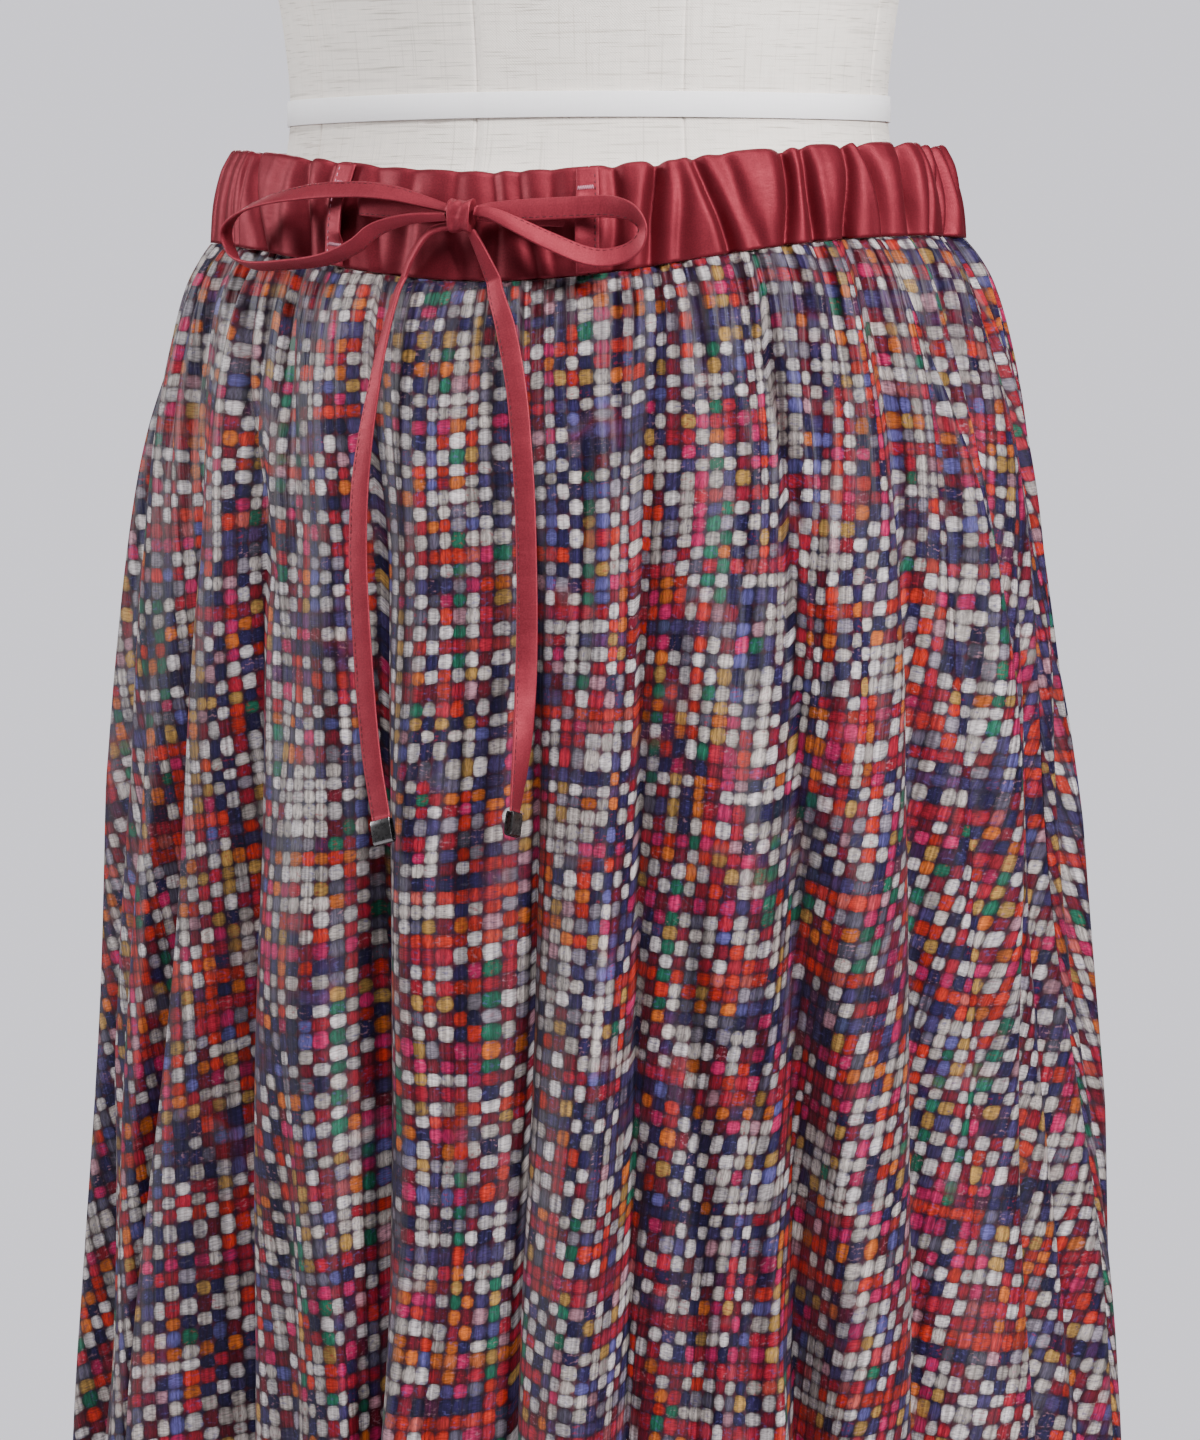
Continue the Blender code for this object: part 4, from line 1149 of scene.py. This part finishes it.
def strip_place(side, share, across, out=0.0):
    """A place on a strip's outside, and the way out of it. Across runs from -0.5 to 0.5, inwards."""
    angle = side * (SLIT_ANGLE - across * STRIP_WIDTH / FRONT_RADIUS)
    height = seam_height(angle)
    height += share * (band_top(angle) - height)
    place, normal = outermost(angle, height)
    t = min(max(min(share - SLIT_LOW, SLIT_HIGH - share) / 0.12, 0), 1)
    lift = t * t * (3 - 2 * t) * STRIP_LIFT * (across + 0.5) ** 1.6
    return place + normal * (STRIP_SEAT + STRIP_THICKNESS + lift + out), normal


def add_strip(name, side, node):
    section = (
        (-0.5, 0.5), (-0.49, 0.85), (-0.46, 1.0), (-0.3, 1.02), (0, 1.0), (0.3, 1.02), (0.46, 1.0),
        (0.49, 0.85), (0.5, 0.5), (0.49, 0.15), (0.46, 0.0), (0, 0.0), (-0.46, 0.0), (-0.49, 0.15),
    )
    shares = np.linspace(0.012, 0.985, 44)
    points, places = [], []
    for share in shares:
        for across, depth in section:
            place, _ = strip_place(side, share, across, (depth - 1) * STRIP_THICKNESS)
            points.append(place)
            places.append((across * STRIP_WIDTH, share * BAND_HEIGHT))
    faces = ring_faces(len(shares), len(section)) + end_faces(len(shares), len(section))
    cloth_faces = len(faces)
    line = [strip_place(side, share, -0.33) for share in np.linspace(0.03, 0.97, 60)]
    sew(points, faces, line, 1.6 * MM, 0.8 * MM, 0.22 * MM)
    tack_start = len(faces)
    for level in (SLIT_LOW - 0.01, SLIT_HIGH + 0.02):
        zigzag = []
        for k in range(TACK_STITCHES + 1):
            across = -0.26 + 0.70 * k / TACK_STITCHES
            zigzag.append(strip_place(side, level + (0.022 if k % 2 else -0.022), across, 0.08 * MM))
        for ends in zip(zigzag, zigzag[1:]):
            span = (ends[1][0] - ends[0][0]).length
            sew(points, faces, ends, span * 0.92, span * 0.03, 0.16 * MM)
    places += [(0, 0)] * (len(points) - len(places))
    obj = mesh_object(name, points, faces)
    set_cloth_map(obj, places)
    # The strips take the tie's lighter copy of the satin, with its painted light, not the band's darker one.
    for material in (LIT_TIE_SATIN, RED_THREAD, PALE_THREAD):
        obj.data.materials.append(material)
    line_thread = 1 if side > 0 else 2
    for face in obj.data.polygons[cloth_faces:]:
        face.material_index = line_thread if face.index < tack_start else 2
    stand_in(obj, node)


add_strip("strip_l", 1, "slit_strip_l")
add_strip("strip_r", -1, "slit_strip_r")


# Skirt
# Front and back panels of a thin crinkled georgette, gathered into the band and sewn at the
# sides. The cloth falls in long uneven folds to a narrow turned hem.
CLOTH_THICKNESS = 0.6 * MM
SKIRT_REST_GAP = 2.4 * MM
DEPTHS = table(
    "drop fold gather crease",
    (0, 0, 6.0, 0),
    (4, 0.5, 7.4, 0.1),
    (16, 2.0, 8.8, 0.3),
    (45, 5.5, 7.8, 0.7),
    (90, 11, 5.2, 1),
    (150, 17, 2.6, 1),
    (230, 25, 0.8, 1),
    (380, 34, 0, 1),
    (600, 43, 0, 1),
    (SKIRT_LENGTH, 50, 0, 1),
)
FOLDS = table(
    "at_seam at_hip at_hem share hem_share lean",
    (-168, -170, -172, 0.90, 0.90, 0.3),
    (-150, -151, -150, 0.95, 0.95, -0.4),
    (-131, -131, -132, 0.80, 0.80, 0.5),
    (-112, -110, -111, 1.00, 1.00, -0.3),
    (-92, -90, -88, 0.87, 0.99, 0.4),
    (-70, -68, -69, 1.00, 1.00, 0.5),
    (-47, -40, -38, 0.95, 0.85, -0.5),
    (-30, -27, -25, 0.90, 0.80, 0.4),
    (-12, -7, -3, 0.85, 1.00, -0.3),
    (11, 13, 11, 0.90, 1.00, 0.3),
    (27, 26, 23, 0.95, 0.62, 0.4),
    (45, 46, 49, 0.90, 1.00, -0.4),
    (62, 65, 65, 1.00, 0.95, 0.5),
    (81, 86, 83, 0.95, 0.90, 0.6),
    (103, 106, 107, 0.90, 0.90, -0.4),
    (124, 126, 127, 1.00, 1.00, 0.3),
    (146, 148, 148, 0.85, 0.85, -0.5),
    (167, 168, 167, 0.95, 0.95, 0.4),
)
HIP_DROP = 120
FOLD_OVER = 0.86
# Smaller creases over the folds: where each starts and ends, in degrees and mm below the seam
CREASES = table(
    "at_top at_end top end width depth",
    (-163, -160, 60, 420, 3.0, -3.0),
    (-158, -156, 380, 860, 3.4, 3.4),
    (-143, -141, 20, 300, 2.6, -3.2),
    (-138, -142, 300, 860, 3.0, -4.4),
    (-121, -122, 60, 520, 2.6, 2.8),
    (-118, -116, 420, 860, 3.0, -4.0),
    (-101, -99, 30, 360, 2.4, -3.2),
    (-96, -99, 330, 860, 3.2, 3.4),
    (-81, -78, 60, 480, 2.6, -3.4),
    (-62, -58, 20, 260, 2.4, -3.0),
    (-56, -59, 300, 860, 2.8, -4.0),
    (-51, -49, 120, 520, 2.4, -2.6),
    (-20, -22, 40, 260, 2.2, -2.2),
    (-17, -13, 260, 860, 2.6, -3.8),
    (4, 3, 60, 420, 2.2, -2.8),
    (3, 2, 330, 860, 2.4, -2.8),
    (19, 18, 10, 220, 2.0, -2.6),
    (12, 12, 280, 900, 2.8, 3.4),
    (33, 32, 190, 900, 2.3, -6.0),
    (38, 40, 10, 230, 2.0, -2.8),
    (40, 40, 210, 900, 2.3, -5.4),
    (55, 56, 20, 240, 2.2, -2.4),
    (58, 57, 420, 860, 2.4, -2.8),
    (73, 75, 10, 420, 2.2, -3.4),
    (76, 77, 420, 860, 2.4, -4.4),
    (93, 97, 60, 520, 2.6, -3.4),
    (98, 95, 480, 860, 2.8, 3.2),
    (115, 117, 30, 340, 2.6, -3.0),
    (117, 114, 400, 860, 2.8, -4.0),
    (136, 138, 60, 480, 2.6, 2.8),
    (139, 136, 430, 860, 3.0, -4.0),
    (157, 158, 30, 380, 2.8, -3.2),
    (160, 156, 420, 860, 3.0, 3.4),
)


def fold_lines(drop):
    """Angles of the valleys between folds at a distance below the seam, in degrees."""
    near = softly(drop / HIP_DROP)
    down = np.clip((drop - HIP_DROP) / (SKIRT_LENGTH - HIP_DROP), 0, 1)
    at = FOLDS["at_seam"] + (FOLDS["at_hip"] - FOLDS["at_seam"]) * near
    return at + (FOLDS["at_hem"] - FOLDS["at_hip"]) * down


def small_gathers(degrees, drop):
    """How far in the little gathers under the waist seam go, in mm. They run out by the hips."""
    chance = np.random.default_rng(5)
    sink = np.zeros_like(degrees)
    at = -180.0
    while at < 180:
        reach, width = chance.uniform(50, 260), chance.uniform(0.6, 1.5)
        depth = chance.uniform(2.0, 5.4) * (0.3 + 0.7 * float(elastic(at)))
        middle = at + chance.normal(0, 1.5) * drop / 100 + 0.4 * math.sin(drop / 30 + at)
        off = degrees_from(middle, degrees)
        sink = sink + depth * float(softly((reach - drop) / reach)) * np.exp(-np.abs(off / width) ** 1.3)
        at += chance.uniform(3.4, 7.4)
    return sink


def creases(degrees, drop):
    """Height in mm that the smaller creases add at one distance below the seam."""
    height = np.zeros_like(degrees)
    for a, b, top, end, width, depth in zip(*CREASES.values()):
        middle = a + (b - a) * softly((drop - top) / (end - top)) + 0.7 * math.sin(drop / 61 + a)
        fade = softly((drop - top) / 100) * softly((end - drop) / 110)
        off = degrees_from(middle, degrees)
        height += 2.2 * depth * fade * np.exp(-(np.abs(off / width) ** (2 if depth > 0 else 1.35)))
    return height


def skirt_grid(degrees, drops):
    """Points of the skirt's outside, a row for each distance below the waist seam, in mm, and
    how far the weave's rows sag there over the ridges of the folds."""
    rows, sags = [], []
    home = np.append(FOLDS["at_seam"], FOLDS["at_seam"][0] + 360)
    start = (degrees - home[0]) % 360 + home[0]
    k = np.clip(np.searchsorted(home, start, side="right") - 1, 0, len(home) - 2)
    t = (start - home[k]) / (home[k + 1] - home[k])
    for share in drops / SKIRT_LENGTH:
        below = share * SKIRT_LENGTH
        lines = fold_lines(below)
        lines = np.append(lines, lines[0] + 360)
        fold_depth, gather_depth, crease = (
            float(smooth(below, DEPTHS["drop"], DEPTHS[name])) for name in ("fold", "gather", "crease")
        )
        wander = 0.05 * np.sin(share * 9 + k * 2.1) + 0.03 * np.sin(share * 23 + k * 1.3)
        tip = FOLDS["lean"][k] * FOLD_OVER * fold_depth / 50 + wander * min(1, fold_depth / 15)
        moved = t + tip * np.sin(np.pi * t) ** 2
        at = lines[k] + moved * (lines[k + 1] - lines[k])
        angle = np.radians(at)
        top = seam_height(np.radians(start)) - 0.3 * MM
        drop = share * (top - HEM_HEIGHT)
        height = top - drop
        reach = FOLDS["share"][k] + (FOLDS["hem_share"][k] - FOLDS["share"][k]) * min(1, share * 2)
        swing = 1 + 0.16 * np.sin(share * 7.3 + k * 1.7) + 0.08 * np.sin(share * 17 + k * 2.9)
        out = np.sin(np.pi * t) ** (0.9 - 0.22 * float(softly(share * 5))) * np.minimum(reach * swing, 1.04)
        tucked = pleats(start, -share * 9) + small_gathers(start, below)
        sink = fold_depth * (1 - out) + gather_depth / PLEAT_REACH * tucked - crease * creases(at, below)
        half_width, front, back = sizes(ENVELOPE, "drop", drop / MM)
        x, y, nx, ny = oval(angle, half_width, front, back)
        x, y = x - nx * sink * MM, y - ny * sink * MM
        x, y = rest_on_form(x, y, height, CLOTH_THICKNESS + SKIRT_REST_GAP)
        rows.append(np.stack([x, y, height], -1))
        sags.append(0.010 * float(softly(share * 2.4)) * (out - 0.6) + 0.002 * np.sin(3 * t + 5 * share + k))
    return np.array(rows), np.array(sags)


def smooth_down(values, drops, reach):
    """Evens out each column of values over a reach of mm up and down."""
    weight = np.exp(-(((drops[:, None] - drops[None, :]) / reach) ** 2))
    weight /= weight.sum(1, keepdims=True)
    return weight @ values


SKIRT_ROWS = np.concatenate([
    np.arange(0, 60, 2.5), np.arange(60, 180, 3.6), np.arange(180, SKIRT_LENGTH - 6, 4.6),
    [SKIRT_LENGTH - 4, SKIRT_LENGTH],
])
SKIRT_COLUMNS = 236
HEM_TURN = 12
HIP_RADIUS = 0.190
# The print's measure across the cloth is evened over this many mm, up and down
PRINT_REACH = 150
# Where the back panel lies beside the front one on the flat cloth, in metres
BACK_PLACE = 1.7


def closed_sheet(name, grid, thickness, places, material):
    """A thin closed sheet: a grid of outside points, the same moved in, and its four edges."""
    down = np.gradient(grid, axis=0)
    along = np.gradient(grid, axis=1)
    normal = np.cross(along, down)
    normal /= np.linalg.norm(normal, axis=2, keepdims=True)
    middle = grid.shape[1] // 2
    if np.dot(normal[5, middle], [grid[5, middle, 0], grid[5, middle, 1], 0]) < 0:
        normal = -normal
    inner = grid - normal * thickness[:, None, None]
    count, across = grid.shape[:2]
    points = np.concatenate([grid.reshape(-1, 3), inner.reshape(-1, 3)])
    index = np.arange(count * across).reshape(count, across)
    quads = np.stack([index[:-1, :-1], index[1:, :-1], index[1:, 1:], index[:-1, 1:]], -1).reshape(-1, 4)
    inside = quads[:, ::-1] + count * across
    rims = []
    for line in (index[0, ::-1], index[-1, :], index[:, 0], index[::-1, -1]):
        far = line + count * across
        rims.append(np.stack([line[:-1], line[1:], far[1:], far[:-1]], -1)[:, ::-1])
    obj = mesh_object(name, points, np.concatenate([quads, inside, *rims]))
    set_cloth_map(obj, np.concatenate([places.reshape(-1, 2)] * 2))
    obj.data.materials.append(material)
    return obj


PRINT_CELL = 5.5 * MM
WHITE, CREAM, ASH = (240, 229, 231), (224, 211, 206), (164, 152, 168)
NAVY, VIOLET, SLATE = (44, 34, 84), (74, 60, 112), (104, 96, 118)
WINE, CRIMSON, SCARLET = (132, 26, 50), (190, 32, 58), (222, 52, 34)
ORANGE, MUSTARD, PINK = (230, 116, 44), (204, 156, 84), (216, 38, 106)
GREEN, LAVENDER, ROSE = (34, 118, 92), (104, 98, 170), (206, 148, 164)
# Colour of painted shade, put into the crinkle's fine grooves and the hollows of the puckers under the seam
PAINTED_CREASE_SHADE = srgb(34, 12, 30)


class PrintNodes(Nodes):
    """Nodes with a few more that the print needs. A cell of its weave is a column and a row."""

    def total(self, *values):
        """The sum of several values."""
        result = values[0]
        for value in values[1:]:
            result = self.maths("ADD", result, value)
        return result

    def times(self, one, other):
        return self.maths("MULTIPLY", one, other)

    def wander(self, vector, scale, reach):
        """Slow drift of the yarns either way, in cells."""
        return self.times(self.maths("SUBTRACT", self.noise(vector, scale, 1.0), 0.5), reach)

    def uneven(self, value, reach):
        """Uneven widths of the yarns, in cells."""
        node = self.add("TexNoise", {"W": value, "Scale": 0.42, "Detail": 0.0}, noise_dimensions="1D")
        return self.times(self.maths("SUBTRACT", node.outputs["Fac"], 0.5), reach)

    def chance(self, a, b, seed):
        """A number from 0 to 1 that stays the same for one pair of whole numbers."""
        pair = self.add("CombineXYZ", {0: a, 1: b, 2: seed}).outputs[0]
        return self.add("TexWhiteNoise", {"Vector": pair}, noise_dimensions="3D").outputs["Value"]

    def run_of(self, along, length, seeds):
        """Which run of cells a cell is in, where its yarn keeps one colour for a length."""
        start = self.times(self.chance(*seeds), length)
        return self.maths("FLOOR", self.maths("DIVIDE", self.total(along, start), length))

    def where(self, mask, amount, cell, seed):
        """1 in the share of cells that a zone's mask takes over, else 0."""
        return self.maths("GREATER_THAN", self.times(mask, amount), self.chance(*cell, seed))

    def palette(self, value, *steps, way="CONSTANT"):
        """Picks one of the colours by a number from 0 to 1. A step is where it starts."""
        node = self.add("ValToRGB", {"Fac": value})
        node.color_ramp.interpolation = way
        while len(node.color_ramp.elements) < len(steps):
            node.color_ramp.elements.new(0.5)
        for element, (start, colour) in zip(node.color_ramp.elements, steps):
            element.position, element.color = start, srgb(*colour)
        return node.outputs["Color"]


def upright_yarns(n, cell, red_zone, dark_zone, pale_zone):
    """Colours of the upright yarns, which keep theirs for nine rows."""
    column, row = cell
    pick = n.chance(column, n.run_of(row, 9.0, (column, 3.0, 1.0)), 2.0)
    mixed = n.palette(
        pick, (0, NAVY), (0.20, VIOLET), (0.29, SLATE), (0.35, WINE), (0.54, CRIMSON), (0.65, SCARLET),
        (0.73, GREEN), (0.82, CREAM), (0.90, PINK), (0.94, MUSTARD), (0.97, LAVENDER),
    )
    red = n.palette(
        pick, (0, WINE), (0.26, CRIMSON), (0.48, SCARLET), (0.74, ORANGE), (0.82, PINK), (0.90, NAVY),
    )
    dark = n.palette(pick, (0, NAVY), (0.48, VIOLET), (0.74, SLATE), (0.84, LAVENDER), (0.90, WINE))
    yarn = n.mix(n.where(red_zone, 0.85, cell, 9.0), mixed, red)
    yarn = n.mix(n.where(dark_zone, 0.85, cell, 8.0), yarn, dark)
    return n.mix(n.where(pale_zone, 0.34, cell, 10.0), yarn, srgb(*CREAM))


def crosswise_yarns(n, cell, one_nub, red_zone, dark_zone):
    """Colours of the crosswise yarns, which keep theirs for twelve columns, with odd nubs between.
    Gives the yarns without the nubs too, and 1 where such a yarn covers the upright ones."""
    column, row = cell
    pick = n.chance(n.run_of(column, 12.0, (3.0, row, 4.0)), row, 5.0)
    plain = n.palette(
        pick, (0, WHITE), (0.35, CREAM), (0.55, ASH), (0.63, ORANGE), (0.69, SCARLET), (0.74, CRIMSON),
        (0.81, VIOLET), (0.85, NAVY), (0.91, PINK), (0.97, MUSTARD),
    )
    odd = n.palette(
        one_nub, (0, WHITE), (0.28, CREAM), (0.42, ROSE), (0.52, ASH), (0.60, MUSTARD), (0.67, LAVENDER),
        (0.74, PINK), (0.83, ORANGE), (0.90, SCARLET), (0.95, GREEN),
    )
    red = n.palette(
        one_nub, (0, WHITE), (0.34, SCARLET), (0.52, ORANGE), (0.64, CRIMSON), (0.78, PINK), (0.90, MUSTARD),
    )
    dark = n.palette(one_nub, (0, CREAM), (0.40, VIOLET), (0.60, NAVY), (0.80, SLATE), (0.92, LAVENDER))
    yarn = n.mix(n.maths("GREATER_THAN", n.chance(column, row, 7.0), 0.68), plain, odd)
    yarn = n.mix(n.where(red_zone, 0.70, cell, 13.0), yarn, red)
    yarn = n.mix(n.where(dark_zone, 0.42, cell, 14.0), yarn, dark)
    solid = n.times(n.maths("GREATER_THAN", pick, 0.69), n.maths("LESS_THAN", pick, 0.91))
    return yarn, plain, solid


def woven_print(n, place):
    """The print's colours at a place counted in cells: rounded yarns in drifting zones of red, navy
    and white, streaked along their length, with the dark between them and soft bleeds over all."""
    flat = n.add("SeparateXYZ", {0: place})
    aside = n.add("VectorMath", {0: place, 1: (31.0, 7.0, 0.0)}, operation="ADD").outputs[0]
    x, y = (n.total(flat.outputs[axis], n.uneven(flat.outputs[axis], 0.5)) for axis in "XY")
    x = n.total(x, n.wander(n.stretch(place, 1, 0.3), 0.10, 1.1), n.wander(place, 1.5, 0.24))
    y = n.total(y, n.wander(aside, 0.09, 1.5), n.wander(aside, 1.3, 0.28))
    cell = column, row = n.maths("FLOOR", x), n.maths("FLOOR", y)
    in_x = n.maths("SUBTRACT", n.maths("SUBTRACT", x, column), 0.5)
    in_y = n.maths("SUBTRACT", n.maths("SUBTRACT", y, row), 0.5)
    parity = n.maths("PINGPONG", n.total(column, row), 1.0)
    at_cell = n.add("CombineXYZ", {0: column, 1: row, 2: 0.0}).outputs[0]

    zone = n.noise(n.stretch(at_cell, 0.095, 0.135), 1.0, 2.0, 0.6)
    pale = n.noise(n.stretch(at_cell, 0.13, 0.09, 1.0), 1.0, 1.0)
    red_zone, dark_zone = n.ramp(zone, 0.52, 0.60), n.ramp(zone, 0.46, 0.38)
    one_nub = n.chance(column, row, 6.0)
    warp = upright_yarns(n, cell, red_zone, dark_zone, n.ramp(pale, 0.48, 0.60))
    weft, plain, solid = crosswise_yarns(n, cell, one_nub, red_zone, dark_zone)
    covered = n.times(n.times(solid, parity), n.maths("GREATER_THAN", n.chance(column, row, 12.0), 0.3))
    yarn = n.mix(n.times(covered, 0.85), n.mix(parity, weft, warp), plain)

    reach = []
    for off, seed in ((in_x, 15.0), (in_y, 16.0)):
        size = n.maths("ADD", 0.468, n.times(n.chance(column, row, seed), 0.10))
        reach.append(n.maths("POWER", n.maths("DIVIDE", n.maths("ABSOLUTE", off), size), 2.15))
    reach = n.total(*reach)
    bleed = n.ramp(n.noise(n.stretch(place, 1, 0.8), 0.17, 2.0), 0.53, 0.68)
    filled = n.total(n.times(solid, 0.4), n.times(bleed, 0.4), n.times(parity, 0.14))
    shape = n.maths("MAXIMUM", n.ramp(reach, 1.50, 0.70), n.maths("MINIMUM", filled, 0.8))

    streak = n.add("Mix", {"Factor": parity}, data_type="FLOAT")
    n.link(n.noise(n.stretch(place, 1.7, 9), 1.0, 3.0, 0.65), streak, 2)
    n.link(n.noise(n.stretch(place, 9, 1.7), 1.0, 3.0, 0.65), streak, 3)
    fluff = n.ramp(streak.outputs[0], 0.34, 0.66, 0.60, 1.15)
    tone = n.times(fluff, n.ramp(n.chance(column, row, 11.0), 0, 1, 0.66, 1.12))
    tone = n.times(tone, n.ramp(reach, 0.02, 1.25, 1.30, 0.46))
    yarn = n.add("HueSaturation", {"Color": yarn, "Value": tone}).outputs["Color"]
    flecks = n.ramp(n.noise(n.stretch(place, 1.5, 2.6), 1.7, 3.0), 0.54, 0.68, 0, 0.5)
    fleck_colour = n.palette(
        one_nub, (0, LAVENDER), (0.4, SLATE), (0.6, VIOLET), (0.75, ROSE), (0.88, CRIMSON),
    )
    yarn = n.mix(flecks, yarn, fleck_colour)
    between = n.palette(
        n.noise(place, 0.45, 1.0), (0.34, (30, 18, 54)), (0.48, (84, 20, 42)), (0.66, (48, 36, 66)),
        way="LINEAR",
    )
    wash = n.palette(
        n.noise(n.stretch(aside, 0.34, 0.42), 1.0, 1.0), (0.34, NAVY), (0.43, VIOLET), (0.50, WINE),
        (0.57, SCARLET), (0.66, ASH), way="LINEAR",
    )
    return n.mix(n.times(bleed, 0.2), n.mix(shape, between, yarn), wash)


def print_cloth():
    """Crinkled georgette, printed as if it were a thick many-coloured basket weave. It has fine
    upright ribs, and puckers where it is gathered into the seam. Its colour also holds painted
    shade in the ribs' grooves, in thin dark lines between them and in the puckers' hollows."""
    material, nodes, shader = new_material(
        "printed_georgette", Roughness=0.5, Sheen_Weight=0.04, Sheen_Roughness=0.45, Specular_IOR_Level=0.22,
    )
    n = PrintNodes(nodes.tree)
    cloth = n.add("UVMap", uv_map="cloth").outputs["UV"]
    dyed = woven_print(n, n.stretch(cloth, 1 / PRINT_CELL, 1 / PRINT_CELL, 0))
    ribs = n.noise(n.stretch(cloth, 620, 9), 1.0, 1.0, 0.6)
    # Thin dark lines of painted shade in the grooves between the crinkle's ribs
    rib_line_shade = n.ramp(n.noise(n.stretch(cloth, 410, 7), 1.0, 1.0, 0.6), 0.56, 0.66, 0, 0.32)
    # Darkens the whole print to its dye level, and also paints shade in the ribs' grooves and light on their
    # ridges, in step with their bump below
    depth = n.ramp(ribs, 0.34, 0.66, 0.26, 0.49)
    dyed = n.add("HueSaturation", {"Color": dyed, "Value": depth}).outputs["Color"]
    dyed = n.mix(rib_line_shade, dyed, PAINTED_CREASE_SHADE)
    # Painted shade in the hollows of the puckers under the seam, where the same puckers are also bumped
    seam_near = n.ramp(n.add("SeparateXYZ", {0: cloth}).outputs["Y"], 0.0, 0.075, 1.0, 0.0)
    puckers = n.noise(n.stretch(cloth, 190, 13), 1.0, 1.0, 0.5)
    shaded = n.times(seam_near, n.ramp(puckers, 0.50, 0.34, 0, 0.7))
    n.link(n.mix(shaded, dyed, PAINTED_CREASE_SHADE), shader, "Base Color")
    crinkle = n.noise(n.stretch(cloth, 330, 30), 1.0, 3.0, 0.6)
    raised = n.bump(crinkle, 0.7, 0.0007)
    raised = n.bump(n.times(puckers, seam_near), 1.0, 0.0042, raised)
    n.link(n.bump(ribs, 0.4, 0.00025, raised), shader, "Normal")
    return material


PRINT = print_cloth()


def add_skirt_panel(name, start, end, node):
    """One panel from side seam to side seam, and its place on the flat cloth."""
    degrees = np.linspace(math.degrees(start), math.degrees(end), SKIRT_COLUMNS)
    grid, sag = skirt_grid(degrees, SKIRT_ROWS)
    step = np.linalg.norm(np.diff(grid, axis=1), axis=2)
    run = np.concatenate([np.zeros((len(grid), 1)), np.cumsum(step, axis=1)], axis=1)
    run -= run[:, [run.shape[1] // 2]]
    across = smooth_down(run, SKIRT_ROWS, PRINT_REACH)
    fall = np.linalg.norm(np.diff(grid, axis=0), axis=2)
    down = np.concatenate([np.zeros((1, grid.shape[1])), np.cumsum(fall, axis=0)])
    down = down.mean(axis=1, keepdims=True) + np.zeros_like(down)
    places = np.stack([across + (0.0 if start < 0 else BACK_PLACE), down - sag], -1)
    thickness = np.full(len(grid), CLOTH_THICKNESS)
    thickness[SKIRT_ROWS > SKIRT_LENGTH - HEM_TURN] = 2 * CLOTH_THICKNESS
    obj = closed_sheet(name, grid, thickness, places, PRINT)
    stand_in(obj, node)


side_trim = PANEL_TRIM / HIP_RADIUS
add_skirt_panel("georgette_front", -math.pi / 2 + side_trim, math.pi / 2 - side_trim, "skirt_front")
add_skirt_panel("georgette_back", math.pi / 2 + side_trim, 3 * math.pi / 2 - side_trim, "skirt_back")
